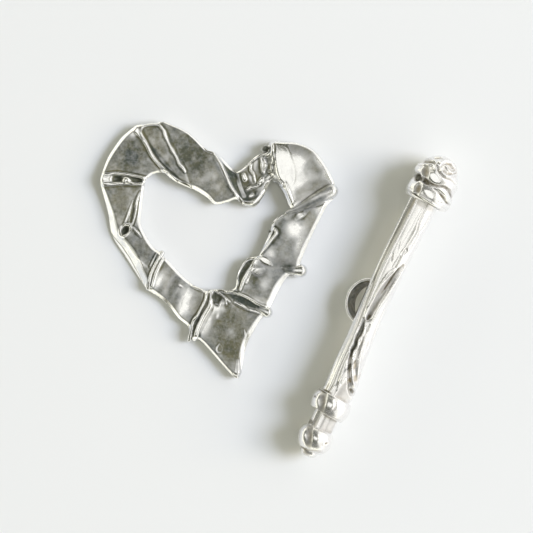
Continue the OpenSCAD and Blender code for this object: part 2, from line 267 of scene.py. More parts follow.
def joined(shells):
    """One list of vertices, faces and vertex colours from several closed shells."""
    verts, faces, colours, base = [], [], [], 0
    for v, f, c in shells:
        verts.append(v)
        colours.append(c)
        faces += [tuple(int(k) + base for k in face) for face in facing_out(v, f)]
        base += len(v)
    return np.vstack(verts), faces, np.vstack(colours)


def piece(name, shells, node, material):
    """One visible piece, kept just inside its node's box, that takes the node's place."""
    verts, faces, colours = joined(shells)
    lo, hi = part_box(node)
    verts = np.clip(verts * MM, np.array(lo) + 1e-7, np.array(hi) - 1e-7)
    mesh = bpy.data.meshes.new(name)
    mesh.from_pydata([tuple(v) for v in verts], [], faces)
    mesh.polygons.foreach_set("use_smooth", np.ones(len(mesh.polygons), bool))
    layer = mesh.attributes.new("patina_and_painted_light", "FLOAT_COLOR", "POINT")
    rgba = np.ones((len(verts), 4))
    rgba[:, :2] = colours
    layer.data.foreach_set("color", rgba.ravel())
    mesh.update()
    obj = bpy.data.objects.new(name, mesh)
    bpy.context.collection.objects.link(obj)
    mesh.materials.append(material)
    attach(obj, "root")
    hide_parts(node)


# Heart ring: its sections

# A row for each section of the band, clockwise from the point: outer edge x and y, inner edge x and y,
# height near the outer edge, in the middle and near the inner edge as shares of HEART_T, then the width
# of the rounded bevel along the outer and the inner edge. Places and widths are in grid units.
HEART_ROWS = [
    [136, 1, 125, 88.5, 0.58, 0.52, 0.58, 4, 3],
    [127, 9, 121, 89.5, 0.55, 0.52, 0.58, 3, 3],
    [103, 36, 114, 89.5, 0.55, 0.55, 0.60, 3, 3],
    [96, 40, 110.5, 89, 0.62, 0.62, 0.62, 3, 3],
    [93, 39.5, 108, 88.5, 0.58, 0.58, 0.60, 3, 3],
    [90, 40, 106, 88, 0.56, 0.58, 0.60, 3, 3],
    [88, 52, 102, 90.5, 0.52, 0.50, 0.56, 3.5, 3],
    [78, 61, 95, 93, 0.50, 0.50, 0.54, 3.5, 3],
    [66, 76, 83, 102, 0.48, 0.44, 0.50, 4, 3],
    [52, 86, 67, 119, 0.52, 0.50, 0.56, 4.5, 3],
    [47, 89, 59, 127, 0.56, 0.58, 0.60, 6, 3],
    [42, 96, 53, 131.5, 0.50, 0.54, 0.58, 9, 3],
    [26, 121, 46, 142, 0.46, 0.54, 0.58, 12.5, 3],
    [12, 143, 40.5, 155, 0.46, 0.56, 0.60, 9, 3],
    [8, 165, 41.5, 169, 0.48, 0.58, 0.62, 6.5, 3.5],
    [3, 184, 43.5, 187, 0.52, 0.56, 0.62, 4.5, 3],
    [0.5, 194, 44.5, 193.5, 0.56, 0.57, 0.60, 3, 3],
    [1, 202, 46, 198, 0.56, 0.57, 0.60, 2.6, 3],
    [8, 221, 53, 204, 0.55, 0.57, 0.60, 3.8, 3],
    [20, 239, 63, 205.5, 0.55, 0.57, 0.60, 4.2, 3],
    [29, 247.5, 69.5, 200.5, 0.56, 0.58, 0.62, 3.5, 4],
    [33, 250.5, 75, 197, 0.58, 0.60, 0.63, 3.5, 4],
    [38, 253, 79.5, 194.5, 0.60, 0.62, 0.64, 2.5, 4],
    [60, 256, 91, 189.5, 0.60, 0.62, 0.64, 1.8, 4.5],
    [66, 255.3, 94, 188.7, 0.60, 0.62, 0.64, 1.6, 5],
    [88, 245, 106.5, 181, 0.60, 0.60, 0.64, 1.6, 5],
    [105, 229.5, 115, 174, 0.62, 0.62, 0.64, 2.2, 3.5],
    [112, 226.5, 127, 176, 0.64, 0.65, 0.65, 3, 3],
    [115, 225.8, 136, 179, 0.64, 0.66, 0.66, 3, 3],
    [120, 222, 142, 174, 0.60, 0.62, 0.66, 3, 4],
    [133, 208.5, 152, 171, 0.58, 0.58, 0.64, 2, 5],
    [140, 208, 158, 174.5, 0.58, 0.60, 0.64, 2, 5],
    [155, 221.5, 166.5, 188, 0.60, 0.62, 0.62, 3, 5],
    [165, 226.5, 170.5, 196.5, 0.60, 0.58, 0.54, 3, 3],
    [170.5, 236, 177.5, 194, 0.66, 0.84, 0.70, 3, 3],
    [182, 236.5, 184, 184.5, 0.74, 0.93, 0.78, 2.5, 3],
    [199, 234.3, 188, 174, 0.76, 0.95, 0.80, 2.2, 3],
    [215, 226, 189.8, 170.8, 0.76, 0.92, 0.80, 2.2, 3],
    [228, 208, 190.3, 168.6, 0.70, 0.82, 0.74, 2.2, 3],
    [234.5, 194.5, 189, 167.5, 0.62, 0.68, 0.68, 2.2, 3],
    [236.5, 188, 186, 166, 0.56, 0.66, 0.66, 3, 3],
    [233, 179.5, 180, 162.5, 0.54, 0.68, 0.64, 4, 3],
    [227, 173, 173, 157.5, 0.66, 0.76, 0.62, 3.5, 3],
    [213, 146, 169.5, 146.5, 0.70, 0.82, 0.60, 4, 3],
    [201, 119, 160.5, 126.5, 0.66, 0.76, 0.62, 4, 3],
    [198, 109.5, 157, 122.5, 0.54, 0.68, 0.64, 4, 3],
    [189, 104, 146, 119.5, 0.54, 0.66, 0.60, 5, 3],
    [181, 93, 138, 106.5, 0.50, 0.62, 0.62, 7, 2],
    [172, 76, 135.5, 93, 0.52, 0.60, 0.62, 6, 2],
    [168, 69, 133, 90, 0.56, 0.62, 0.62, 4, 2],
    [158, 56, 129.7, 89, 0.52, 0.56, 0.60, 5, 3],
    [146, 33, 127.7, 88.7, 0.52, 0.52, 0.60, 6, 3],
    [140.3, 6, 125.9, 88.5, 0.56, 0.52, 0.60, 5, 3],
]
STATIONS, ACROSS = 1120, 62         # places round the band and across its top
REACH_STATIONS = 70                 # how many places either way the nearest edge is looked for
SLOPE, SLOPE_RIGHT = 0.85, 0.46     # of the bevel along the edges, and along the right outer edge
LOWEST, EDGE_LOWEST = 0.55, 0.30    # of the top and of its bevelled edge, in millimetres
FILM_CLEAN, FILM_MORE = 0.08, 0.60  # tarnish on the smooth lobe and limb, and what the rest has more
HOLLOW, FILM_IN, FILM_OFF = 0.055, 0.35, 1.0    # depth in millimetres that changes the film, and by how much
UNDER = (0.0, 0.15, 0.32, 0.50, 0.68, 0.85, 1.0)    # places across the flat underside
ALONG_EVENED, TOP_EVENED, GROUND_EVENED = 30, 2, 40    # rounds of evening out
WORKED_X = 160                      # left of this the skin is worked more roughly
GENTLE_X, GENTLE_Y = 143, 172       # right of and below this the outer edge is gentler
DULL_X, DULL_Y = 166, 112           # left of this, and below it on the right, the silver is dull
RISE_OVER = 0.07                    # how far the relief may rise above HEART_T, in millimetres
BEVEL_START = 0.03                  # how far in a bevel reaches its full slope, in millimetres

# Overlapping sheet edges on the heart: how far the rise reaches back (grid units), then a chain of x, y
# and height in millimetres. The left side of the chain is raised.
HEART_SHEETS = [
    # Ragged edge of the strip down the left lobe, and the fold beside the cleft
    (9, [[91, 190, 0.06], [85, 208, 0.14], [80, 214, 0.16], [77, 221, 0.16], [73, 227, 0.18],
        [70, 233, 0.18], [66, 241, 0.18], [64, 248, 0.16], [60, 254, 0.08]]),
    (11, [[142, 174, 0.06], [135.6, 184.8, 0.12], [131.1, 191.6, 0.15], [126.5, 202.5, 0.15],
        [122, 213, 0.15], [113, 227, 0.1]]),
    # Ragged border of the lower left panel
    (6, [[49, 111, 0.02], [42, 117, 0.06], [34, 124, 0.07], [27, 134, 0.06], [23, 142, 0.02]]),
    # Folds across the lower left side
    (8, [[60, 128, 0.1], [56, 114, 0.18], [51, 102, 0.18], [47, 90, 0.1]]),
    (8, [[106, 90, 0.08], [104, 78, 0.16], [96, 62, 0.16], [89, 42, 0.08]]),
    (12, [[88, 92, 0.01], [84, 82, 0.05], [81, 72, 0.06], [78.5, 63, 0.02]]),
    # Flat wrap below the opening, curled flap on the inner side
    (7, [[118, 90, 0.08], [132, 87, 0.18], [150, 79, 0.18], [168, 70, 0.1]]),
    (8, [[156, 121, 0.08], [149, 111, 0.2], [144, 99, 0.2], [139, 88, 0.08]]),
    # Left edge of the smooth lobe
    (8, [[171, 236, 0.08], [174, 220, 0.16], [180, 196, 0.16], [190, 176, 0.08]]),
]

# Raised lines on the heart: side groove in millimetres, then a chain of x, y, half width (grid units) and
# lift (millimetres).
HEART_FOLDS = [
    # Long fold down the left lobe, widening at its top, with the strip's rounded corner beside it
    (0.03, [[34, 252, 5.2, 0.08], [38.5, 245, 3, 0.12], [45, 236, 2.1, 0.12], [53.6, 220, 2, 0.12],
        [68, 204, 2, 0.12], [78, 196.5, 1.9, 0.11], [88, 191.5, 1.5, 0.04]]),
    (0.04, [[43, 240, 1.17, 0.02], [41, 247, 1.3, 0.06], [44, 252, 1.43, 0.08], [51, 253.5, 1.43, 0.08],
        [58, 253, 1.56, 0.08], [62, 249, 1.3, 0.04]]),
    (0.03, [[60, 252, 1.3, 0.04], [64, 247, 1.69, 0.08], [66, 241, 2.21, 0.09], [69, 235, 1.56, 0.06],
        [73, 227, 2.21, 0.09], [76, 222, 1.56, 0.06], [80, 214, 2.21, 0.09], [85, 207, 1.56, 0.04]]),
    (0.03, [[67, 207, 1.56, 0.02], [71, 201, 2.86, 0.09], [76, 196.5, 1.56, 0.04]]),
    # Fold beside the cleft, and the fine line in the dark fold
    (0, [[113, 227, 1.9, 0.09], [120, 216, 1.9, 0.11], [126.5, 202.5, 1.9, 0.12],
        [131.1, 191.6, 1.9, 0.12], [135.6, 184.8, 1.8, 0.12], [142.5, 174.5, 1.8, 0.08]]),
    (0.03, [[104, 232, 1.3, 0.02], [108, 230, 3.12, 0.11], [113, 227, 2.08, 0.04]]),
    (0.02, [[137, 203, 2, 0.02], [139.5, 193, 2.4, 0.05], [144, 182, 2.2, 0.03]]),
    # Double band across the left side
    (0.05, [[6, 204, 1.69, 0.04], [16, 205, 1.56, 0.06], [26, 204, 1.56, 0.08], [36, 202, 1.56, 0.08],
        [46, 199.5, 1.82, 0.08]]),
    (0.05, [[4, 193.5, 2.08, 0.06], [22, 194.5, 1.69, 0.08], [43, 194, 1.56, 0.08]]),
    (0, [[1, 199, 6.5, 0.09], [5, 199.3, 5.98, 0.1], [8, 199.5, 5.2, 0.09]]),
    (0, [[22, 200, 2.2, 0.14], [26, 198, 3.4, 0.26], [31, 196.5, 2.2, 0.12]]),
    (0, [[40, 197, 2.08, 0.08], [44, 197, 3.12, 0.12]]),
    # Curled creases above the pit, and the pit's rim
    (0.05, [[24, 153, 1.3, 0.03], [28, 163, 1.3, 0.04], [31, 172, 0.9, 0.02], [33, 178, 0.6, 0.01]]),
    (0.06, [[32, 155, 1.56, 0.06], [34.5, 166, 1.95, 0.11], [37, 178, 1.56, 0.08],
        [40, 186, 1.04, 0.01]]),
    (0, [[19.5, 143.5, 1.82, 0.08], [20.5, 149, 1.82, 0.11], [25, 153.5, 1.82, 0.11],
        [30, 154, 1.82, 0.11], [30.5, 150, 1.82, 0.11], [26.5, 144.5, 1.95, 0.11],
        [22.5, 141.5, 1.82, 0.09], [19.5, 143.5, 1.82, 0.08]]),
    (0.02, [[33.5, 151, 1.17, 0.02], [37.5, 146, 1.82, 0.08], [41, 141.5, 1.17, 0.02]]),
    # Triple line of the fold across the lower left side, and its soft neighbours
    (0.05, [[50, 112, 1.17, 0.04], [54, 119, 1.43, 0.08], [58.5, 127, 1.43, 0.04]]),
    (0.07, [[48, 93, 1.56, 0.06], [51, 105, 1.56, 0.12], [56, 116, 1.69, 0.14], [61, 126, 1.82, 0.08]]),
    (0.05, [[52, 93, 1.7, 0.04], [54.8, 103, 1.9, 0.11], [59, 112.5, 1.9, 0.11], [63.5, 121, 1.6, 0.04]]),
    (0, [[79, 94, 1.3, 0.03], [80.5, 93, 1.69, 0.04], [82, 92, 1.3, 0.03]]),
    (0.03, [[92, 92.5, 1.17, 0.02], [97, 91, 1.56, 0.08], [103, 88, 1.17, 0.02]]),
    # Thin wavy fold and the thick one beside it
    (0.06, [[106, 88, 1.43, 0.06], [105, 79, 1.56, 0.12], [99, 67, 1.43, 0.12], [97, 63, 1.82, 0.14],
        [93, 58, 1.56, 0.12], [90, 47, 1.69, 0.12], [89, 41, 1.82, 0.06]]),
    (0.08, [[111.5, 86, 2.08, 0.06], [110, 73, 2.34, 0.15], [102.5, 60.5, 2.86, 0.18],
        [97.5, 49, 2.6, 0.17], [95.5, 41, 2.34, 0.09]]),
    # Box-shaped tongue, flat wrap and its bright lower edge
    (0.04, [[115, 88, 1.3, 0.06], [122, 83.5, 1.3, 0.09], [129, 77.5, 1.3, 0.04]]),
    (0.04, [[124, 86.5, 1.3, 0.02], [134, 85.5, 1.56, 0.07], [145, 82, 1.56, 0.09], [157, 75, 1.56, 0.09],
        [166, 71.5, 1.56, 0.04]]),
    (0.04, [[134, 76.5, 1.17, 0.02], [140, 74, 1.95, 0.09], [147, 69.5, 1.3, 0.03]]),
    (0.04, [[147, 69.5, 1.04, 0.03], [156, 67, 1.17, 0.04], [163, 64, 1.04, 0.03]]),
    (0, [[120, 74, 1.17, 0.08], [121, 79, 1.43, 0.11], [125, 79, 1.17, 0.09], [126, 75, 1.17, 0.08]]),
    # Curled flap: its bright outer rim and inner lines
    (0.05, [[155, 122.5, 1.56, 0.03], [147, 119, 1.69, 0.08], [140, 113, 1.69, 0.08],
        [136.8, 105, 1.69, 0.08], [137, 94, 1.56, 0.04]]),
    (0.06, [[152, 113, 1.43, 0.04], [148, 108, 1.69, 0.12], [143, 98, 1.69, 0.14],
        [139.5, 89, 1.43, 0.04]]),
    (0.03, [[155, 112, 1.17, 0.04], [151, 107, 1.17, 0.06], [146, 96, 1.17, 0.04]]),
    (0, [[151, 110, 2.6, 0.02], [157, 107, 4.68, 0.08], [163, 109, 2.6, 0.02]]),
    (0, [[160, 121, 2.08, 0.04], [165, 118, 3.9, 0.11], [171, 114, 2.08, 0.04]]),
    # Crumpled stretch
    (0.05, [[140, 210, 1.3, 0.04], [151, 218, 1.56, 0.09], [162.5, 225, 1.43, 0.08]]),
    (0.05, [[171, 236, 1.69, 0.06], [172, 230, 1.95, 0.12], [170, 224, 1.82, 0.12],
        [165, 221, 1.56, 0.06]]),
    (0.05, [[151, 216, 1.3, 0.04], [150.3, 208.5, 1.56, 0.11], [153.5, 203.5, 1.43, 0.11],
        [154.5, 197, 1.3, 0.06]]),
    (0.05, [[162, 219, 2.6, 0.09], [163.5, 213, 3.64, 0.17], [163, 207, 2.6, 0.08]]),
    (0.05, [[169, 214, 2.86, 0.06], [169.5, 208, 3.38, 0.11]]),
    (0.05, [[143.5, 203, 2.34, 0.11], [144.5, 199, 2.6, 0.11]]),
    (0.05, [[159, 195.5, 2.08, 0.09], [162, 198.5, 2.6, 0.11]]),
    (0.05, [[146, 187.5, 1.3, 0.06], [150, 190.5, 1.69, 0.11], [155, 191.5, 1.43, 0.09],
        [159, 194, 1.43, 0.06]]),
    (0.03, [[150, 182, 1.82, 0.06], [152, 184, 2.08, 0.08]]),
    (0.04, [[144, 176, 2.08, 0.06], [151, 175, 2.86, 0.12], [158, 179, 2.34, 0.11],
        [165, 187, 1.69, 0.06]]),
    (0.06, [[166, 199, 1.3, 0.08], [172, 204, 1.56, 0.12], [175, 200, 1.43, 0.11],
        [181, 194, 1.43, 0.06]]),
    # Smooth lobe: its left edge and the crease through its bright part
    (0.06, [[170.5, 236, 1.95, 0.08], [172, 228, 1.82, 0.08], [172.5, 215, 1.56, 0.04]]),
    (0.03, [[185, 195, 1.5, 0.04], [188, 186, 2, 0.08], [191, 177, 1.8, 0.05]]),
    (0, [[182, 234, 1.3, 0.01], [188, 229, 1.2, 0.02], [190, 220, 1.2, 0.02], [193.5, 210, 1.3, 0.02],
        [194, 198, 1.2, 0.02], [191, 192, 1, 0.01]]),
    # Curled inner edge of the smooth limb, with its small ball
    (0.04, [[183, 165, 1.3, 0.04], [176, 161, 1.56, 0.08], [171, 156, 1.69, 0.09],
        [169, 151, 1.56, 0.04]]),
    (0.05, [[169, 150, 1.56, 0.06], [174, 149.5, 1.82, 0.11], [176, 145.5, 1.82, 0.11],
        [172, 140, 1.69, 0.09], [165, 131, 1.56, 0.08], [160, 125, 1.43, 0.04]]),
    (0, [[196, 160, 2.6, 0.03], [201, 164, 3.9, 0.09], [206, 167, 2.6, 0.03]]),
    # Flake and flecks on the lower point
    (0.02, [[119, 35, 0.91, 0.02], [116.5, 31, 1.17, 0.04], [117, 27.5, 0.91, 0.03],
        [121, 27, 0.78, 0.01], [122, 31, 0.78, 0.01], [120, 35, 0.78, 0.01]]),
    (0.02, [[144, 49, 0.78, 0.02], [145, 45, 1.17, 0.04], [144, 42, 0.78, 0.01]]),
]

# Stretches beaten flat: x, y, half width, half height, turn, then the lean to the right and away in degrees.
HEART_FACETS = [
    [184, 210, 8, 20, 4, -2, 0],
    [198, 205, 12, 20, -6, 3, 0],
    [58, 99, 6, 11, -24, 2, 0],
    [160, 97, 9, 10, 30, -5, 0],
    [128, 40, 9, 22, 12, -3, -3],
]

# Hollows and rises on the heart: x, y, half width, half height, turn, height in millimetres.
HEART_DENTS = [
    [30, 221, 12, 14, -30, -0.06],
    [92, 222, 14, 18, 30, -0.06],
    [112, 200, 6, 14, 30, 0.05],
    [18, 199.5, 6.5, 2.6, 2, -0.42],     # pocket in the double band
    [37, 198.0, 7.0, 2.4, -6, -0.32],
    [22, 176, 9, 11, -8, -0.06],
    [33, 164, 1.8, 9, -12, -0.18],       # channel between the curled creases
    [25, 148, 4.6, 3.6, 40, -0.55],      # small pit
    [40, 130, 10, 9, 40, -0.05],
    [73, 92, 4, 12, -30, -0.14],         # long hollow panel
    [74, 80, 8, 9, 40, -0.10],
    [95, 76, 5, 12, -15, -0.10],
    [101, 66, 2.0, 17, -26, -0.16],
    [117, 81, 5.5, 6.5, 30, -0.34],      # box-shaped tongue
    [128, 45, 10, 18, 10, -0.05],
    [146, 77, 13, 3.4, -24, -0.16],      # flat wrap
    [145, 111, 3.0, 11, -35, -0.30],     # curled flap
    [160, 96, 9, 11, 35, -0.12],
    [135, 197, 5.0, 18, 28, -0.16],      # dark fold beside the cleft
    [148, 208, 4, 5, 0, -0.12],
    [158, 205, 3.2, 7, 0, -0.14],
    [147, 194, 4, 3.5, 0, -0.12],
    [153, 186, 5, 3, 20, -0.10],
    [175, 196, 3.6, 3.0, -40, -0.60],    # cavity beside the smooth lobe
    [205, 190, 14, 5, 26, -0.10],
    [215, 212, 7, 9, 20, -0.05],
]

# Rounded nubs and rolled wires that stand out past the band: a flattening of the height, then a chain of x,
# y (grid units), height and radius (millimetres).
HEART_WIRES = [
    # Rolled wrap with its round end
    (0.85, [[186, 166, 1.45, 0.16], [197, 170, 1.6, 0.4], [210, 176.5, 1.66, 0.64], [222, 183, 1.6, 0.82],
        [230.3, 187.2, 1.45, 0.88]]),
    # Wire wrap with its nub
    (1, [[178, 112, 1.25, 0.24], [187, 109.5, 1.2, 0.46], [194, 108.4, 1.05, 0.64],
        [200.2, 108.2, 0.92, 0.8]]),
    # Nub of the flat wrap
    (1, [[157, 70.5, 1.15, 0.26], [162, 69, 1.15, 0.44], [166.6, 66.8, 1.05, 0.68]]),
    # Feet of the two folds
    (1, [[92, 52, 1.4, 0.14], [90, 44, 1.15, 0.22], [89, 39, 0.85, 0.26]]),
    (1, [[98, 50, 1.45, 0.2], [95.5, 43, 1.1, 0.27], [94.2, 40, 0.85, 0.28]]),
    (1, [[60, 121, 1.3, 0.2], [61.8, 125.4, 1.1, 0.34]]),
    (1, [[49, 96, 1.3, 0.18], [48, 91, 0.9, 0.3]]),
    # Rounded point
    (1, [[137, 20, 1, 0.32], [136.2, 7.5, 0.8, 0.62]]),
    # Small balls
    (1, [[163.5, 228.5, 1.15, 0.34], [165.5, 230, 1.15, 0.36]]),
    (1, [[170.5, 146.5, 0.95, 0.28], [171.5, 146.2, 1, 0.3]]),
]

# Tarnish on the heart: x, y, half width, half height, turn, darkness and brownness (both 0 to 1). The rows
# with almost no darkness clear it as painted highlights.
HEART_STAINS_AND_HIGHLIGHTS = [
    [30, 222, 21, 19, -30, 0.80, 0.45],
    [31, 221, 8, 8, 0, 0.75, 0.0],
    [14, 209, 9, 4.5, -20, 0.75, 0.9],
    [34, 246, 5, 4, 0, 0.10, 0.6],
    [50, 238, 11, 20, 35, 0.72, 0.85],
    [62, 214, 9, 17, 38, 0.66, 0.75],
    [64, 215.5, 2.8, 27, 40, 0.92, 0.15],
    [92, 224, 18, 26, 30, 0.84, 0.38],
    [91, 191, 9, 4, -25, 0.60, 0.9],
    [116, 198, 8, 22, 30, 0.66, 0.70],
    [18, 199.5, 7, 3.2, 2, 1.0, 0.3],
    [37, 198.0, 8, 3.0, -6, 0.95, 0.3],
    [23, 190.5, 23, 3.4, 0, 0.85, 0.75],
    [20, 174, 13, 16, -8, 0.72, 0.80],
    [18, 157, 5, 3.5, 0, 0.55, 1.0],
    [34, 165, 2.2, 11, -12, 0.8, 0.5],
    [25, 148, 5, 4, 40, 1.0, 0.3],
    [40, 129, 14, 10, 38, 0.72, 0.40],
    [53.5, 108, 2.0, 16, -24, 0.8, 0.8],
    [67, 95, 5, 10, 20, 0.50, 0.95],
    [74, 92, 7, 15, -30, 0.54, 0.30],
    [95, 76, 7, 14, -15, 0.52, 0.95],
    [101, 66, 1.8, 20, -26, 0.75, 0.4],
    [106, 60, 6, 15, -10, 0.22, 0.90],
    [129, 45, 15, 34, 12, 0.79, 0.62],
    [118, 81, 7.5, 8.5, 30, 1.0, 0.3],
    [123, 76.5, 2.6, 2.2, 30, 0.1, 0.4],
    [146, 77.5, 19, 5, -24, 0.93, 0.05],
    [145, 111, 4, 14, -35, 0.95, 0.25],
    [160, 95, 13, 15, 35, 0.60, 0.40],
    [160, 79, 9, 3.5, -15, 0.45, 0.9],
    [134, 199, 8.5, 23, 28, 1.0, 0.20],
    [153, 203, 12, 17, 0, 0.52, 0.70],
    [144, 200.5, 2.4, 3, 0, 0.05, 0.5],
    [161, 197, 2.2, 2.2, 0, 0.05, 0.5],
    [164, 214, 2.8, 5, 0, 0.0, 0.5],
    [165, 229.5, 3.6, 3.4, 0, 1.0, 0.2],
    [169.5, 209, 3, 6, 0, 0.60, 0.9],
    [175, 196, 4.4, 3.6, -40, 1.0, 0.3],
    [179.5, 191, 3.6, 2.6, 0, 0.30, 1.0],
    [174.5, 221, 3.4, 18, 8, 0.66, 0.65],
    [193, 229, 6, 5, 0, 0.45, 0.8],
    [214, 208, 13, 25, -14, 0.68, 0.60],
    [205, 227, 12, 9, -10, 0.68, 0.80],
    [220, 191, 14, 6.5, 26, 0.66, 0.75],
    [202, 184, 10, 10, 26, 0.62, 0.95],
    [214, 176, 15, 4, 26, 0.66, 0.10],
    [198, 145, 20, 28, -25, 0.92, 0.35],
    [209, 156, 6, 14, -20, 0.66, 0.85],
    [178, 146, 8, 18, -30, 0.88, 0.20],
    [184, 126, 11, 10, -15, 0.76, 0.40],
    [203, 125, 3, 10, -25, 0.05, 0.2],
    [187, 110, 7, 5, 0, 0.80, 0.15],
    [191, 104, 4, 2, 15, 0.4, 1.0],
    [171, 146.3, 3.0, 3.0, 0, 0.9, 0.3],
]

# Places worn bright, set where they give painted highlights as the clean silver mirrors the bright panel: x,
# y, half width, half height, turn and share.
HEART_WORN_AND_HIGHLIGHTS = [
    [56.5, 99, 4.5, 9, -22, 1.0],
    [63, 101, 4.5, 10, -24, 0.3],
    [83.5, 77, 5.4, 16, -12, 1.0],
    [90, 75, 5.5, 15, -12, 0.3],
    [5, 199, 6, 6, 0, 1.0],
    [37, 112, 5, 8, -35, 0.9],
    [162, 119, 7, 3.5, -30, 1.0],
    [156, 107, 6, 4, -30, 0.7],
    [183, 213, 6.6, 19, 4, 1.0],
    [189, 190, 4.0, 12, 8, 0.9],
    [198, 210, 5.5, 14, -4, 1.0],
    [200, 198, 8, 12, 14, 0.5],
    [219, 217, 3.8, 9, 32, 1.0],
    [229, 202, 4.0, 9, 24, 1.0],
    [195, 149, 9, 8, -35, 1.0],
    [200, 134, 4.8, 10, -22, 0.9],
    [204, 126, 4, 13, -25, 0.9],
    [34, 246, 4, 5, -20, 0.9],
    [106, 58, 6, 18, -14, 0.5],
    [127, 200, 1.8, 27, 29, 1.0],
    [140.5, 190, 1.8, 7, 25, 0.7],
    [103.5, 63, 2.4, 2.8, 20, 0.9],
    [104, 54, 2.0, 2.6, 0, 0.9],
    [101.7, 48, 1.8, 2.4, 0, 0.9],
    [111.7, 72.5, 2.2, 1.6, 0, 0.8],
    [117.5, 63, 1.3, 2.6, -20, 0.7],
    [109, 60, 1.4, 1.8, 0, 0.6],
]


def tarnish_and_highlights(x, y, colour):
    """The heart's tarnish, and then the places where it is worn off, set where they give painted highlights.
    """
    for row in HEART_STAINS_AND_HIGHLIGHTS:
        tint_oval(x, y, colour, row)
    colour[..., 0] = 1 - np.clip(1 - colour[..., 0], 0, 1) ** 1.5
    for cx, cy, rx, ry, turn, share in HEART_WORN_AND_HIGHLIGHTS:
        worn = np.zeros(x.shape)
        dent(x, y, worn, (cx, cy, rx, ry, turn, share), 1.2)
        colour[..., 0] *= 1 - np.clip(worn * (1 + 0.25 * noise(x, y, 3.0)), 0, 1)


def heart_place(x, y, z):
    """From the heart's grid to millimetres in the frame."""
    right, up = x * HEART_UNIT - HEART_W / 2, y * HEART_H / GRID_Y - HEART_H / 2
    return np.stack([right - MID_X, up - MID_Y, z], axis=-1)


def heart_wire(flat, chain, sides=18, count=48):
    """A rolled wire or nub with round ends, in the heart's own grid."""
    p = spline(chain, 12)
    p[:, :2] *= HEART_UNIT
    p = evenly(p, count * 4, False, slice(0, 3))
    step = np.linalg.norm(np.diff(p[:, :3], axis=0), axis=1)
    run = np.concatenate([[0], np.cumsum(step)])
    total = run[-1]
    # The ends are rounded by running past the chain's last points
    r0, r1 = p[0, 3], p[-1, 3]
    at = -r0 + (total + r0 + r1) * (0.5 - 0.5 * np.cos(math.pi * np.linspace(0.02, 0.98, count)))
    way0, way1 = (p[0, :3] - p[1, :3]) / step[0], (p[-1, :3] - p[-2, :3]) / step[-1]
    rows = np.stack([np.interp(at, run, p[:, k]) for k in range(4)], axis=1)
    before, after = np.maximum(-at, 0), np.maximum(at - total, 0)
    rows[:, :3] += before[:, None] * way0 + after[:, None] * way1
    rows[:, 3] *= np.sqrt(np.clip(1 - (before / r0) ** 2 - (after / r1) ** 2, 0.004, 1))
    way = np.gradient(rows[:, :3], axis=0)
    way /= np.linalg.norm(way, axis=1, keepdims=True)
    side = np.cross(way, [0, 0, 1.0])
    side /= np.linalg.norm(side, axis=1, keepdims=True)
    up = np.cross(side, way)
    a = np.linspace(0, 2 * math.pi, sides, endpoint=False)[None, :, None]
    out = np.cos(a) * side[:, None] + np.sin(a) * flat * up[:, None]
    pts = rows[:, None, :3] + rows[:, None, 3:4] * out
    x, y, z = pts[..., 0] / HEART_UNIT, pts[..., 1] / HEART_UNIT, np.maximum(pts[..., 2], 0.02)
    colour = np.full(x.shape + (2,), 0.5)
    colour[..., 0] = 0.08
    tarnish_and_highlights(x, y, colour)
    verts, faces = shell(heart_place(x, y, z), False, True, cap=True)
    colour = colour.reshape(-1, 2)
    return verts, faces, np.vstack([colour, colour[:1], colour[-1:]])


def reach_to(x, y, a, b):
    """Distance from the points of each section to its own short line from a to b."""
    ab = b - a
    length = np.maximum((ab * ab).sum(axis=1, keepdims=True), 1e-9)
    t = np.clip(((x - a[:, :1]) * ab[:, :1] + (y - a[:, 1:]) * ab[:, 1:]) / length, 0, 1)
    return np.hypot(x - a[:, :1] - t * ab[:, :1], y - a[:, 1:] - t * ab[:, 1:])


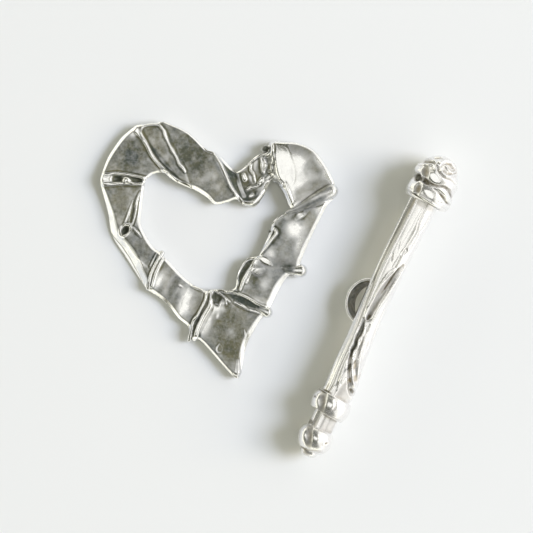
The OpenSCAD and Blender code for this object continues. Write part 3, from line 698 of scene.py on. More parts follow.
def heart_shells():
    """The band with its relief, tarnish and painted highlights, and the wires and nubs on it."""
    rows = spline(HEART_ROWS, 24, closed=True)
    middle = (rows[:, 0:2] + rows[:, 2:4]) / 2
    spread = np.hstack([rows[:, 0:2] * 0.6, middle * 1.4])
    rows = evenly(np.hstack([spread, rows]), STATIONS, True, slice(0, 4))[:, 4:]
    outer, inner = rows[:, 0:2], rows[:, 2:4]
    u = np.linspace(0, 1, ACROSS)
    a = 0.5 * u + 0.5 * (1 - np.cos(math.pi * u)) / 2
    x = outer[:, :1] + (inner[:, :1] - outer[:, :1]) * a
    y = outer[:, 1:] + (inner[:, 1:] - outer[:, 1:]) * a
    rim, mid, lip = rows[:, 4:5], rows[:, 5:6], rows[:, 6:7]
    z = HEART_T * (rim * (1 - a) * (1 - 2 * a) + mid * 4 * a * (1 - a) + lip * a * (2 * a - 1))
    for _ in range(ALONG_EVENED):
        z = (np.roll(z, 1, 0) + z + np.roll(z, -1, 0)) / 3

    # Distance from each point of the top to the band's own edges
    near_out = np.full(z.shape, 1e9)
    near_in = np.full(z.shape, 1e9)
    for w in range(-REACH_STATIONS, REACH_STATIONS + 1):
        near_out = np.minimum(near_out, reach_to(x, y, np.roll(outer, -w, 0), np.roll(outer, -w - 1, 0)))
        near_in = np.minimum(near_in, reach_to(x, y, np.roll(inner, -w, 0), np.roll(inner, -w - 1, 0)))

    for reach, chain in HEART_SHEETS:
        overlap(x, y, z, chain, reach)
    for row in HEART_DENTS:
        dent(x, y, z, row, 1.3)
    for row in HEART_FACETS:
        facet(x, y, z, row)
    for groove, chain in HEART_FOLDS:
        crest(x, y, z, chain, groove)
    left = 1 / (1 + np.exp((x - WORKED_X) / 8))
    z += (0.022 * noise(x, y, 16) + 0.012 * noise(x, y, 7.5)) * (0.35 + 0.65 * left)
    z += (0.005 * noise(x, y, 3.4) + 0.0025 * noise(x, y, 1.8)) * (0.3 + 0.7 * left)
    z = np.clip(z, LOWEST, HEART_T + RISE_OVER)

    wob = 1 + 0.07 * noise(x, y, 12) + 0.03 * noise(x, y, 5)

    def bevel(near, width, slope):
        """How far the rounded bevel drops below the top, in millimetres."""
        short = np.maximum(width * wob - near, 0) * HEART_UNIT
        gently = short * short / (2 * BEVEL_START)
        return slope * np.where(short < BEVEL_START, gently, short - BEVEL_START / 2)

    # The outer edge is gentler from the lobe's wrap down to the point
    gentle = 1 / (1 + np.exp((GENTLE_X - x) / 2)) / (1 + np.exp((y - GENTLE_Y) / 3))
    slope = SLOPE + (SLOPE_RIGHT - SLOPE) * gentle
    drop = np.maximum(bevel(near_out, rows[:, 7:8], slope), bevel(near_in, rows[:, 8:9], SLOPE))
    top = smoothed(np.maximum(z - drop, EDGE_LOWEST), TOP_EVENED)

    colour = np.zeros(x.shape + (2,))
    below = y - DULL_Y - 0.25 * (x - 150)
    dull = np.maximum(1 / (1 + np.exp((x - DULL_X) / 4)), 1 / (1 + np.exp(below / 5)))
    colour[..., 0] = FILM_CLEAN + FILM_MORE * dull
    colour[..., 1] = 0.45 + 0.35 * noise(x, y, 13)
    tarnish_and_highlights(x, y, colour)
    recess = np.clip((smoothed(z, GROUND_EVENED) - z) / HOLLOW, -1, 1)
    edge = np.minimum(near_out / rows[:, 7:8], near_in / rows[:, 8:9])
    dimming = colour[..., 0] + FILM_IN * np.clip(recess, 0, 1) - FILM_OFF * np.clip(-recess, 0, 1)
    colour[..., 0] = np.clip(dimming, 0, 1)
    colour[..., 0] *= np.clip((edge - 0.65) / 0.30, 0, 1)

    # The section goes round: over the top, down the inner side, under, and up the outer side
    def wall(edge_xy, other_xy, heights):
        way = other_xy - edge_xy
        way /= np.linalg.norm(way, axis=1, keepdims=True)
        out = []
        for share, inset in heights:
            p = edge_xy + way * inset
            out.append(np.column_stack([p, side_z(edge_xy) * share]))
        return out

    def side_z(edge_xy):
        return top[:, 0] if edge_xy is outer else top[:, -1]

    rings = [np.stack([x[:, k], y[:, k], top[:, k]], 1) for k in range(ACROSS)]
    rings += wall(inner, outer, [(0.6, 0.15), (0.25, 1.0)])
    for s in UNDER:
        p = inner + (outer - inner) * (0.07 + 0.86 * s)
        rings.append(np.column_stack([p, np.zeros(len(p))]))
    rings += wall(outer, inner, [(0.25, 1.0), (0.6, 0.15)])
    pts = np.stack(rings, 1)
    extra = pts.shape[1] - ACROSS
    tint = np.concatenate([colour, np.full((STATIONS, extra, 2), 0.35)], axis=1).reshape(-1, 2)
    v, f = shell(heart_place(pts[..., 0], pts[..., 1], pts[..., 2]), True, True)
    return [(v, f, tint)] + [heart_wire(flat, chain) for flat, chain in HEART_WIRES]


# Toggle bar, in its own axes: x to the left in the view, y up, z from the tip to the knob

def placed(points):
    """From the bar's own axes to the row's, in millimetres."""
    p = points - np.array([0, 0, BAR_L / 2])
    t, r = math.radians(90) - BAR_PITCH, math.radians(180 - BAR_LEAN)
    x, y, z = p[..., 0], p[..., 1], p[..., 2]
    y, z = y * math.cos(t) - z * math.sin(t), y * math.sin(t) + z * math.cos(t)
    x, y = x * math.cos(r) - y * math.sin(r), x * math.sin(r) + y * math.cos(r)
    return np.stack([x + BAR_X - MID_X, y - BAR_DY - MID_Y, z + axis_z(BAR_L / 2)], axis=-1)


# Forms on the bar are placed as seen from above: how far right of the piece's own middle, then how far along
# the bar, in millimetres. Each line starts with how sharp it is, and its chain's points also have a half
# width and a lift, which is negative in a groove.
BAR_HOLLOW, BAR_FILM_IN, BAR_FILM_OFF = 0.06, 0.45, 0.6    # as HOLLOW, FILM_IN and FILM_OFF on the heart
SHAFT_ROWS = [                      # place as a share of BAR_L, sideways bow and radius as shares of SHAFT_R
    [0.18, 0.00, 1.05],
    [0.23, 0.08, 1.12],
    [0.30, -0.03, 1.02],
    [0.38, -0.08, 0.94],
    [0.50, -0.18, 0.93],
    [0.62, -0.22, 0.96],
    [0.75, -0.14, 1.00],
    [0.88, -0.08, 1.04],
]
SHAFT_LINES = [
    # Rolled left edge: lip, groove and second lip
    (0.8, [[-1.66, 33, 0.14, 0.05], [-1.66, 24, 0.14, 0.06], [-1.58, 16, 0.16, 0.06],
        [-1.6, 8, 0.16, 0.05]]),
    (1, [[-1.25, 33, 0.3, -0.22], [-1.25, 24, 0.28, -0.22], [-1.15, 21, 0.22, -0.2],
        [-1.05, 18, 0.16, -0.16], [-0.95, 16, 0.12, -0.14], [-0.95, 12, 0.11, -0.12],
        [-1.02, 8, 0.1, -0.1]]),
    (0.8, [[-0.95, 33, 0.2, 0.05], [-0.93, 24, 0.2, 0.06], [-0.8, 20, 0.18, 0.07],
        [-0.68, 17, 0.14, 0.06], [-0.8, 12, 0.1, 0.05], [-0.84, 8, 0.1, 0.04]]),
    (1, [[-0.62, 15.5, 0.09, -0.09], [-0.68, 12.5, 0.1, -0.1], [-0.7, 9, 0.08, -0.06]]),
    (0.8, [[-0.55, 12.4, 0.14, 0.08], [-0.45, 10.5, 0.15, 0.1], [-0.2, 8.6, 0.12, 0.06]]),
    # Cracks on the upper half
    (1, [[0.42, 32.4, 0.07, -0.06], [0.48, 30.4, 0.09, -0.09], [0.72, 29.2, 0.09, -0.09],
        [0.66, 28.4, 0.09, -0.08], [0.52, 27, 0.1, -0.09], [0.36, 26, 0.08, -0.05]]),
    (1, [[1.28, 31.4, 0.07, -0.05], [1.25, 30, 0.08, -0.08], [1.02, 29.2, 0.08, -0.08],
        [1.1, 28.4, 0.08, -0.07], [1.04, 27, 0.08, -0.07], [0.82, 26.2, 0.08, -0.05]]),
    (1, [[0.5, 26.9, 0.1, -0.07], [0.72, 26.6, 0.12, -0.08], [0.62, 26.1, 0.08, -0.05]]),
    (1, [[-0.6, 25.7, 0.07, -0.06], [-0.5, 25.3, 0.1, -0.1], [-0.34, 24.9, 0.07, -0.05]]),
    (1, [[-0.5, 27.3, 0.06, -0.04], [-0.34, 26.7, 0.08, -0.06], [-0.24, 26.3, 0.06, -0.03]]),
    (1, [[0.18, 25.6, 0.06, -0.04], [0.12, 24.8, 0.07, -0.06], [0.05, 24.2, 0.06, -0.04]]),
    (1, [[0.05, 31.8, 0.06, -0.03], [-0.05, 29, 0.07, -0.04], [-0.2, 27, 0.06, -0.03]]),
    # Hollow lens with its lips
    (0.9, [[1.12, 25, 0.16, -0.14], [0.85, 23.8, 0.32, -0.34], [0.5, 22.5, 0.48, -0.44],
        [0.2, 21, 0.52, -0.44], [0.02, 19.6, 0.46, -0.4], [-0.12, 18.2, 0.38, -0.38],
        [-0.2, 17.6, 0.26, -0.26]]),
    (1, [[0.78, 24.4, 0.14, -0.1], [0.72, 23.2, 0.16, -0.14], [0.42, 21.6, 0.16, -0.12]]),
    (0.7, [[1.3, 24.9, 0.16, 0.1], [1.18, 23.4, 0.18, 0.14], [1, 22.2, 0.22, 0.18],
        [0.78, 20.8, 0.22, 0.2], [0.55, 19.6, 0.2, 0.18], [0.48, 18.4, 0.18, 0.16],
        [0.42, 17.2, 0.16, 0.1]]),
    (0.7, [[0.35, 24.2, 0.1, 0.05], [-0.1, 23.3, 0.12, 0.08], [-0.32, 21.8, 0.12, 0.08],
        [-0.42, 20, 0.12, 0.09], [-0.55, 18.4, 0.12, 0.08], [-0.56, 17.4, 0.1, 0.05]]),
    # Torn slit, its wavy lips and the rolled sheet at its right
    (0.5, [[-0.55, 17.4, 0.18, -0.14], [-0.4, 16.4, 0.34, -0.22], [-0.36, 15.6, 0.34, -0.24],
        [-0.44, 14.9, 0.28, -0.24], [-0.32, 14.2, 0.28, -0.26], [-0.42, 13.5, 0.26, -0.28],
        [-0.24, 12.6, 0.24, -0.34], [0.02, 11.8, 0.24, -0.38], [0.38, 10.9, 0.25, -0.4],
        [0.8, 10.1, 0.29, -0.42], [1.25, 9.4, 0.36, -0.42], [1.75, 8.9, 0.38, -0.36]]),
    (0.6, [[-0.26, 17.1, 0.08, 0.06], [0, 16.3, 0.1, 0.12], [0.08, 15.7, 0.1, 0.12],
        [-0.16, 15, 0.09, 0.12], [0, 14.4, 0.09, 0.12], [0.1, 14, 0.09, 0.12], [-0.12, 13.5, 0.09, 0.12],
        [0.04, 12.6, 0.08, 0.08]]),
    (0.6, [[-0.8, 16.4, 0.08, 0.08], [-0.82, 15.4, 0.09, 0.12], [-0.64, 14.5, 0.09, 0.12],
        [-0.74, 13.7, 0.09, 0.12], [-0.48, 12.9, 0.09, 0.12], [-0.4, 12.3, 0.08, 0.08]]),
    (0.9, [[0.22, 15.4, 0.1, -0.08], [0.32, 14.2, 0.14, -0.12], [0.46, 12.8, 0.18, -0.14],
        [0.8, 11.6, 0.24, -0.12], [1.3, 10.5, 0.28, -0.06]]),
    (0.7, [[0.5, 16, 0.14, 0.08], [0.6, 14.2, 0.16, 0.12], [0.86, 12.9, 0.18, 0.14],
        [1.2, 11.7, 0.18, 0.14], [1.62, 10.6, 0.18, 0.1], [1.85, 9.8, 0.16, 0.05]]),
    (1, [[1.22, 19.5, 0.06, -0.04], [1.25, 17, 0.07, -0.06], [1.4, 15, 0.07, -0.06],
        [1.46, 13.4, 0.07, -0.06], [1.58, 12.2, 0.07, -0.06], [1.72, 11.4, 0.06, -0.04]]),
    (1, [[1.02, 15.3, 0.08, -0.04], [1.08, 14.7, 0.14, -0.1], [1.16, 14.1, 0.08, -0.04]]),
    # Flat facet at the lower end
    (0.5, [[0.35, 10.2, 0.2, -0.1], [0.6, 9.2, 0.75, -0.22], [0.75, 8.2, 1, -0.3],
        [0.75, 7.2, 1.05, -0.34]]),
]
# Dents: right of the middle, along, half width, half length, turn, height
SHAFT_DENTS = [
    [-0.05, 17.9, 0.34, 0.50, 0, -0.16],
    [0.50, 26.4, 0.25, 0.50, -20, -0.05],
    [1.65, 9.25, 0.35, 0.25, -30, -0.16],
]
# Tarnish, with painted shade below the knob in the row at 32.3: right of the middle, along, half width, half
# length, turn, darkness and brownness
SHAFT_STAINS_AND_SHADE = [
    [0.20, 22.2, 0.44, 2.3, -18, 0.34, 0.30],
    [0.72, 23.6, 0.18, 1.3, -12, 0.72, 0.35],
    [0.42, 21.8, 0.16, 1.5, -16, 0.60, 0.45],
    [0.02, 19.4, 0.30, 1.4, -6, 0.42, 0.45],
    [-0.10, 17.8, 0.30, 0.45, 0, 0.62, 0.30],
    [-0.38, 15.6, 0.34, 1.9, 0, 0.66, 0.10],
    [-0.36, 13.4, 0.26, 1.2, -4, 0.80, 0.10],
    [0.10, 11.7, 0.22, 1.1, -24, 1.00, 0.10],
    [0.80, 10.2, 0.22, 1.0, -32, 0.95, 0.20],
    [1.55, 9.1, 0.45, 0.35, -20, 1.00, 0.25],
    [0.28, 14.4, 0.14, 1.3, -4, 0.34, 0.45],
    [0.66, 12.0, 0.26, 1.1, -22, 0.52, 0.95],
    [1.20, 10.6, 0.34, 1.0, -34, 0.58, 1.00],
    [0.75, 8.4, 1.00, 1.7, 0, 0.38, 0.45],
    [0.80, 7.6, 1.10, 0.38, -8, 0.55, 0.55],
    [-1.20, 7.95, 0.60, 0.16, 0, 1.00, 0.40],
    [-1.40, 8.5, 0.06, 0.50, 0, 0.60, 0.90],
    [-0.98, 8.5, 0.06, 0.50, 0, 0.60, 0.90],
    [-0.38, 8.3, 0.06, 0.40, 0, 0.50, 0.90],
    [-1.25, 28.5, 0.20, 5.0, 0, 0.22, 0.60],
    [-1.25, 31.6, 0.16, 1.2, 0, 0.46, 0.90],
    [-1.15, 21.0, 0.12, 3.0, -3, 0.24, 0.60],
    [0.10, 32.3, 1.30, 0.35, -6, 0.34, 0.70],
    [0.50, 26.5, 0.16, 0.5, 20, 0.30, 0.40],
    [1.22, 24.9, 0.18, 0.2, 0, 0.34, 0.90],
]

# Turned pieces, from the knob to the tip: rows of radius and place along the bar, both in millimetres
KNOB_ROWS = [
    [0.6, 32.80], [1.6, 32.66], [2.35, 32.62], [2.66, 32.82], [2.80, 33.25], [2.84, 33.75], [2.76, 34.35],
    [2.68, 34.95], [2.80, 35.45], [2.80, 35.95], [2.62, 36.50], [2.28, 37.00], [1.95, 37.50], [1.45, 38.00],
    [0.85, 38.38], [0.25, 38.54],
]
KNOB_LINES = [
    # Groove between the lower and the middle wrap, and the one below it
    (0.9, [[-1.75, 34.95, 0.26, -0.34], [-1.35, 34.92, 0.34, -0.46], [-0.75, 34.85, 0.32, -0.4],
        [-0.2, 34.9, 0.18, -0.26], [0.45, 35, 0.16, -0.2], [1.2, 35.2, 0.2, -0.24],
        [1.9, 35.05, 0.22, -0.26], [2.5, 34.6, 0.2, -0.24], [2.8, 34.3, 0.16, -0.12]]),
    (0.9, [[0.1, 34.5, 0.12, -0.08], [0.7, 34.42, 0.16, -0.16], [1.3, 34.22, 0.2, -0.24],
        [1.8, 34, 0.22, -0.26], [2.25, 33.72, 0.18, -0.2], [2.65, 33.62, 0.14, -0.1]]),
    (0.7, [[0.5, 34.72, 0.1, 0.06], [1.3, 34.66, 0.16, 0.1], [2, 34.36, 0.18, 0.1],
        [2.6, 33.95, 0.14, 0.06]]),
    (0.7, [[-1.62, 35.25, 0.08, 0.16], [-1.6, 34.7, 0.08, 0.14]]),
    # Dark strips that part each wrap's left end from its bright middle
    (1, [[-1.6, 34.3, 0.34, -0.12], [-1.55, 33.8, 0.4, -0.2], [-1.45, 33.25, 0.34, -0.12]]),
    (1, [[-1.7, 36.45, 0.34, -0.12], [-1.55, 35.9, 0.46, -0.22], [-1.3, 35.4, 0.34, -0.12]]),
    # Top edge of the middle wrap, with the groove above it
    (0.7, [[-2.6, 36.42, 0.16, 0.1], [-1.75, 36.76, 0.18, 0.16], [-1.1, 36.96, 0.18, 0.18],
        [-0.72, 36.62, 0.16, 0.16], [-0.2, 36.28, 0.16, 0.12], [0.4, 36.05, 0.14, 0.06]]),
    (1, [[-2.45, 36.76, 0.22, -0.26], [-1.7, 37.1, 0.28, -0.32], [-1.05, 37.32, 0.2, -0.26]]),
    (1, [[-0.45, 36.78, 0.14, -0.16], [0.05, 36.44, 0.14, -0.18], [0.75, 36.22, 0.14, -0.14],
        [1.55, 36.32, 0.14, -0.14], [2.2, 36.1, 0.12, -0.08]]),
    # Coil at the top
    (0.7, [[-0.35, 37.3, 0.14, 0.1], [-0.1, 37.92, 0.16, 0.16], [0.5, 38.15, 0.16, 0.16],
        [1.2, 37.95, 0.16, 0.16], [1.6, 37.5, 0.15, 0.12], [1.3, 37.12, 0.14, 0.1],
        [0.7, 37.22, 0.13, 0.1], [0.35, 37.5, 0.12, 0.08]]),
    (0.7, [[0, 37.05, 0.13, 0.1], [0.05, 36.7, 0.14, 0.14], [0.5, 36.45, 0.14, 0.14],
        [1.1, 36.5, 0.14, 0.14], [1.5, 36.86, 0.14, 0.12], [1.85, 37.2, 0.12, 0.06]]),
    (1, [[-0.2, 37.25, 0.1, -0.12], [0.1, 37.7, 0.12, -0.14], [0.6, 37.88, 0.12, -0.14],
        [1.15, 37.65, 0.12, -0.12]]),
    (1, [[0.3, 36.9, 0.12, -0.12], [0.8, 36.82, 0.14, -0.14], [1.25, 37, 0.12, -0.1]]),
    (1, [[-1.3, 37.8, 0.12, -0.1], [-0.9, 38, 0.14, -0.14], [-0.45, 38.15, 0.1, -0.1]]),
    # Flat lower edge
    (0.8, [[-2.6, 33.3, 0.16, 0.05], [-0.8, 33.12, 0.16, 0.07], [1, 32.85, 0.16, 0.07],
        [2.3, 32.78, 0.16, 0.05]]),
]
KNOB_DENTS = [
    [-2.25, 34.95, 0.36, 0.42, 0, -0.60],
    [-2.50, 33.85, 0.34, 0.45, 8, 0.10],
    [-2.55, 35.85, 0.32, 0.45, -6, 0.10],
    [-0.30, 33.80, 0.75, 0.28, -20, 0.10],
    [-0.40, 35.80, 0.60, 0.36, -20, 0.14],
    [-0.62, 37.52, 0.28, 0.34, 0, 0.20],
    [1.62, 33.42, 0.12, 0.10, 0, -0.10],
    [1.20, 33.38, 0.10, 0.08, 0, -0.06],
]
# Tarnish with painted light: the rows at 33.75, 35.95 and 37.20 on the left are painted reflection of the
# shadowed floor, and those at 33.24, 32.98 and 32.66 are painted shade along the knob's lower rim. The others
# darken its grooves and coil.
KNOB_STAINS_AND_PAINTED_LIGHT = [
    [-2.25, 34.95, 0.36, 0.38, 0, 0.85, 0.20],
    [-1.15, 34.86, 0.50, 0.22, -4, 0.70, 0.30],
    [0.00, 34.95, 0.70, 0.10, 2, 0.50, 0.45],
    [1.30, 35.12, 0.60, 0.16, 0, 0.46, 0.40],
    [2.30, 34.75, 0.45, 0.16, -32, 0.52, 0.40],
    [1.50, 34.15, 0.60, 0.15, -22, 0.54, 0.35],
    [2.25, 33.72, 0.35, 0.13, -14, 0.50, 0.35],
    [-1.50, 33.75, 0.46, 0.52, 0, 0.60, 0.66],
    [-0.60, 33.24, 0.90, 0.12, -8, 0.36, 0.60],
    [-1.50, 35.95, 0.55, 0.66, 12, 0.58, 0.66],
    [-1.75, 37.20, 0.60, 0.30, 22, 0.60, 0.45],
    [-2.10, 36.80, 0.40, 0.12, 20, 0.70, 0.90],
    [-0.95, 37.95, 0.36, 0.12, 30, 0.50, 0.85],
    [0.60, 37.95, 0.80, 0.12, 0, 0.42, 0.95],
    [0.95, 37.25, 0.80, 0.60, 0, 0.36, 0.85],
    [1.60, 37.30, 0.22, 0.40, 0, 0.48, 0.80],
    [-0.20, 36.60, 0.30, 0.14, -35, 0.24, 0.95],
    [0.90, 36.24, 0.80, 0.08, 4, 0.26, 0.60],
    [-1.30, 32.98, 0.80, 0.09, -6, 0.95, 0.25],
    [0.90, 32.66, 1.50, 0.07, -5, 0.80, 0.40],
]

BEAD_ROWS = [[0.9, 5.42], [2.00, 5.42], [2.22, 5.66], [2.36, 6.10], [2.40, 6.60], [2.34, 7.10], [2.18, 7.52],
             [1.95, 7.80], [0.9, 7.80]]
BEAD_LINES = [
    (1, [[-1.35, 7.9, 0.4, -0.06], [-1.15, 7, 0.46, -0.12], [-0.95, 6.2, 0.42, -0.12],
        [-0.8, 5.6, 0.36, -0.06]]),
    (1, [[0.22, 7.4, 0.08, -0.03], [0.48, 6.8, 0.1, -0.05], [0.3, 6.1, 0.08, -0.03]]),
]
BEAD_DENTS = [
    [-1.85, 6.80, 0.42, 0.75, 10, 0.14],
    [-0.10, 6.75, 0.50, 0.65, 8, 0.12],
    [-2.05, 6.80, 0.09, 0.09, 0, -0.10],
]
# Tarnish with painted light: the three rows down the left are painted reflection of the shadowed floor, the
# one at 5.95 a painted tan reflection, and the one at 5.56 painted shade under the bead. The others are marks
# and a darker top rim on the left.
BEAD_STAINS_AND_PAINTED_LIGHT = [
    [-1.32, 7.45, 0.44, 0.42, 10, 0.50, 0.45],
    [-1.10, 6.70, 0.38, 0.70, 14, 0.50, 0.45],
    [-0.80, 5.95, 0.44, 0.45, 14, 0.48, 0.50],
    [-2.05, 6.80, 0.14, 0.14, 0, 0.60, 0.35],
    [0.42, 6.60, 0.09, 0.50, 10, 0.30, 0.80],
    [-0.10, 5.95, 0.45, 0.12, 4, 0.30, 0.80],
    [-1.60, 7.76, 0.60, 0.10, 0, 0.90, 0.40],
    [0.10, 5.56, 1.90, 0.08, -4, 0.62, 0.45],
]

END_ROWS = [[0.5, 0.72], [1.15, 0.74], [1.60, 1.05], [1.92, 1.50], [2.08, 2.05], [2.10, 2.55], [1.98, 3.05],
            [1.72, 3.45], [1.20, 3.70], [0.6, 3.75]]
END_LINES = [
    (1, [[-1.15, 3.4, 0.4, -0.06], [-0.85, 2.6, 0.42, -0.12], [-0.6, 1.9, 0.42, -0.12],
        [-0.35, 1.1, 0.38, -0.06]]),
    (0.8, [[1.1, 2.2, 0.08, 0.05], [1.25, 2.55, 0.08, 0.06], [1.55, 2.7, 0.08, 0.05],
        [1.62, 2.45, 0.08, 0.05], [1.4, 2.15, 0.08, 0.05], [1.12, 2.16, 0.08, 0.05]]),
]
END_DENTS = [
    [-1.50, 2.40, 0.36, 0.85, 18, 0.14],
    [0.10, 2.45, 0.48, 0.55, 10, 0.12],
    [1.36, 2.42, 0.20, 0.13, 40, -0.08],
]
# Tarnish with painted light: the three rows down the left are painted reflection of the shadowed floor, and
# those at 1.12 and 0.80 painted shade low on the bead and where it meets the tip. The others are a mark and
# the darkening of the bottom groove.
END_STAINS_AND_PAINTED_LIGHT = [
    [-1.10, 3.25, 0.42, 0.35, 20, 0.66, 0.35],
    [-0.80, 2.50, 0.40, 0.66, 24, 0.50, 0.45],
    [-0.42, 1.60, 0.48, 0.55, 20, 0.50, 0.50],
    [1.36, 2.42, 0.20, 0.13, 40, 0.44, 0.75],
    [1.60, 2.60, 0.08, 0.20, 20, 0.40, 0.80],
    [0.20, 0.98, 1.00, 0.09, 22, 0.55, 0.85],
    [1.00, 1.12, 0.50, 0.14, 24, 0.24, 0.50],
    [-0.70, 0.80, 0.50, 0.09, 0, 0.80, 0.55],
]
TIP_ROWS = [[0.2, 0.02], [0.55, 0.06], [0.88, 0.24], [1.05, 0.50], [1.10, 0.80], [0.9, 1.10], [0.3, 1.20]]
# The first row is painted reflection of the shadowed floor, the second painted shade where the tip meets the
# end bead.
TIP_STAINS_AND_PAINTED_LIGHT = [
    [-0.25, 0.45, 0.40, 0.30, 0, 0.52, 0.60],
    [-0.60, 0.75, 0.60, 0.10, 0, 0.80, 0.50],
]
# The neck: where it runs along the bar, then rows of angle, from the left over the top, and radius
NECK_FROM, NECK_TO = 2.9, 5.7
NECK_ROWS = [
    [0, 1.50], [38, 1.46], [50, 1.36], [58, 1.34], [68, 1.46], [78, 1.40],
    [120, 1.16], [150, 1.34], [168, 1.52], [200, 1.40], [270, 1.30], [340, 1.40],
]
# The row at 4.4 is painted reflection of the shadowed floor. The rows at 3.60 and 5.25 are painted shade at
# the neck's lower end and under the bead, and the row at -1.40 is painted shade in the gap on the left. The
# row at 0.80, 4.3 greys the facet.
NECK_STAINS_AND_PAINTED_LIGHT = [
    [-0.72, 4.4, 0.16, 1.2, 0, 0.50, 0.45],
    [0.80, 4.3, 0.90, 1.3, 0, 0.40, 0.40],
    [0.75, 3.60, 1.00, 0.34, 12, 0.56, 0.45],
    [0.60, 5.25, 1.20, 0.14, -6, 0.62, 0.45],
    [-1.40, 3.90, 0.40, 0.30, 0, 0.80, 0.30],
]


def outward(points):
    """The outward directions on a grid that goes round in its second direction."""
    along = np.gradient(points, axis=0)
    n = np.cross(np.roll(points, -1, 1) - np.roll(points, 1, 1), along)
    n /= np.maximum(np.linalg.norm(n, axis=-1, keepdims=True), 1e-12)
    middle = points.mean(axis=1, keepdims=True)
    flip = np.sign(((points - middle) * n)[..., :2].sum(axis=(0, 1, 2)))
    return n * (flip if flip else 1)


def worked(points, middle, lines, dents, tints, clean, hammered):
    """A closed round piece with raised lines, dents, tarnish and painted shade and reflections on the side
    that the camera sees.
    """
    n = outward(points)
    right, along = -points[..., 0] - middle, points[..., 2]
    rise = np.zeros(right.shape)
    for sharp, chain in lines:
        fold(right, along, rise, chain, sharp)
    for row in dents:
        dent(right, along, rise, row, 1.3)
    seen = np.clip(n[..., 1] * 4 + 0.8, 0, 1)
    turn = np.arctan2(points[..., 1], -points[..., 0])
    skin = 0.6 * noise(turn * 1.6, along, 0.9, 0.3) + 0.4 * noise(turn * 1.6, along, 0.4, 0.8)
    rise = rise * seen + hammered * skin
    colour = np.full(right.shape + (2,), 0.5)
    colour[..., 0] = clean
    for row in tints:
        tint_oval(right, along, colour, row)
    colour[..., 0] = clean + (colour[..., 0] - clean) * seen
    recess = np.clip((smoothed(rise, 8, False, True) - rise) / BAR_HOLLOW, -1, 1)
    dimming = colour[..., 0] + BAR_FILM_IN * np.clip(recess, 0, 1) - BAR_FILM_OFF * np.clip(-recess, 0, 1)
    colour[..., 0] = np.clip(dimming, 0, 1)
    points = points + n * rise[..., None]
    verts, faces = shell(placed(points), False, True, cap=True)
    tint = colour.reshape(-1, 2)
    return verts, faces, np.vstack([tint, colour[0].mean(axis=0), colour[-1].mean(axis=0)])


def shaft_shell(stations=420, rounds=124):
    """The bowed shaft with its rolled edge, hollow lens, torn slit and cracks."""
    rows = evenly(spline(SHAFT_ROWS, 20), stations, False, slice(0, 1))
    turn = np.linspace(0, 2 * math.pi, rounds, endpoint=False)
    r = SHAFT_R * rows[:, 2:3]
    bow = SHAFT_R * rows[:, 1:2]
    x, y, h = r * np.cos(turn) - bow, r * np.sin(turn) + 0 * bow, BAR_L * rows[:, :1] + 0 * turn
    points = np.stack([x, y, h], axis=-1)
    return worked(points, bow, SHAFT_LINES, SHAFT_DENTS, SHAFT_STAINS_AND_SHADE, clean=0.04, hammered=0.009)


def turned(profile, stations, rounds, lines, dents, tints, hammered, pivot, tilt=0, wobble=0.0):
    """A piece turned about the bar's axis from rows of radius and place along it, then leaning sideways."""
    rows = evenly(spline(profile, 12), stations, False)
    turn = np.linspace(0, 2 * math.pi, rounds, endpoint=False)
    r = rows[:, :1] * (1 + wobble * noise(np.cos(turn) * 2 + 4, np.sin(turn) * 2 + rows[:, 1:2] * 0.5, 1.3))
    x, y, h = r * np.cos(turn), r * np.sin(turn), rows[:, 1:2] - pivot + 0 * turn
    t = math.radians(tilt)
    x, h = x * math.cos(t) + h * math.sin(t), h * math.cos(t) - x * math.sin(t)
    points = np.stack([x, y, h + pivot], axis=-1)
    return worked(points, 0.0, lines, dents, tints, clean=0.06, hammered=hammered)


def neck_shell():
    """The folded strip between the two beads."""
    rows = np.array(NECK_ROWS + [[360, NECK_ROWS[0][1]]], float)
    turn = np.linspace(0, 2 * math.pi, 120, endpoint=False)
    r = np.interp(np.degrees(turn), rows[:, 0], rows[:, 1])
    along = np.linspace(NECK_FROM, NECK_TO, 24)[:, None]
    points = np.stack([r * np.cos(turn) + 0 * along, r * np.sin(turn) + 0 * along, along + 0 * turn], axis=-1)
    return worked(points, 0.0, [], [], NECK_STAINS_AND_PAINTED_LIGHT, clean=0.08, hammered=0.006)


def loop_shell():
    """The half-round strip soldered to the shaft's left side."""
    centre = LOOP_REACH - LOOP_R
    start = math.degrees(math.acos(-centre / LOOP_R)) * 0.97
    t = np.radians(np.linspace(-start, start, 90))
    corner = 0.22       # radius of the strip's rounded edges
    eye_side = -0.12    # what lies further in than this faces the eye, in shadow
    half, flat = LOOP_W / 2, LOOP_WALL / 2 - corner
    section = []
    for sx, sy, a0 in ((1, 1, 0), (-1, 1, 90), (-1, -1, 180), (1, -1, 270)):
        for a in np.radians(np.linspace(a0, a0 + 90, 9)):
            section.append((sx * flat + corner * math.cos(a), sy * (half - corner) + corner * math.sin(a)))
        if sy == sx:
            section += [(sx * flat * k, sy * half) for k in (0.5, 0.0, -0.5)]
    section = np.array(section)
    rr = LOOP_R - LOOP_WALL / 2 + section[:, 0]
    x = centre + np.cos(t)[:, None] * rr
    z = BAR_L * LOOP_AT + np.sin(t)[:, None] * rr
    y = section[:, 1] + 0 * x
    d = -LOOP_DIP
    pts = np.stack([x * math.cos(d) - y * math.sin(d), x * math.sin(d) + y * math.cos(d), z], axis=-1)
    verts, faces = shell(placed(pts), False, True, cap=True)
    # The strip's inner face, toward the eye, is painted dark as painted shade; the rest gets light tarnish.
    inside = section[:, 0] < eye_side
    tint = np.tile(np.where(inside[:, None], [[0.94, 0.15]], [[0.05, 0.5]]), (len(t), 1, 1)).reshape(-1, 2)
    return verts, faces, np.vstack([tint, [[0.3, 0.5], [0.3, 0.5]]])


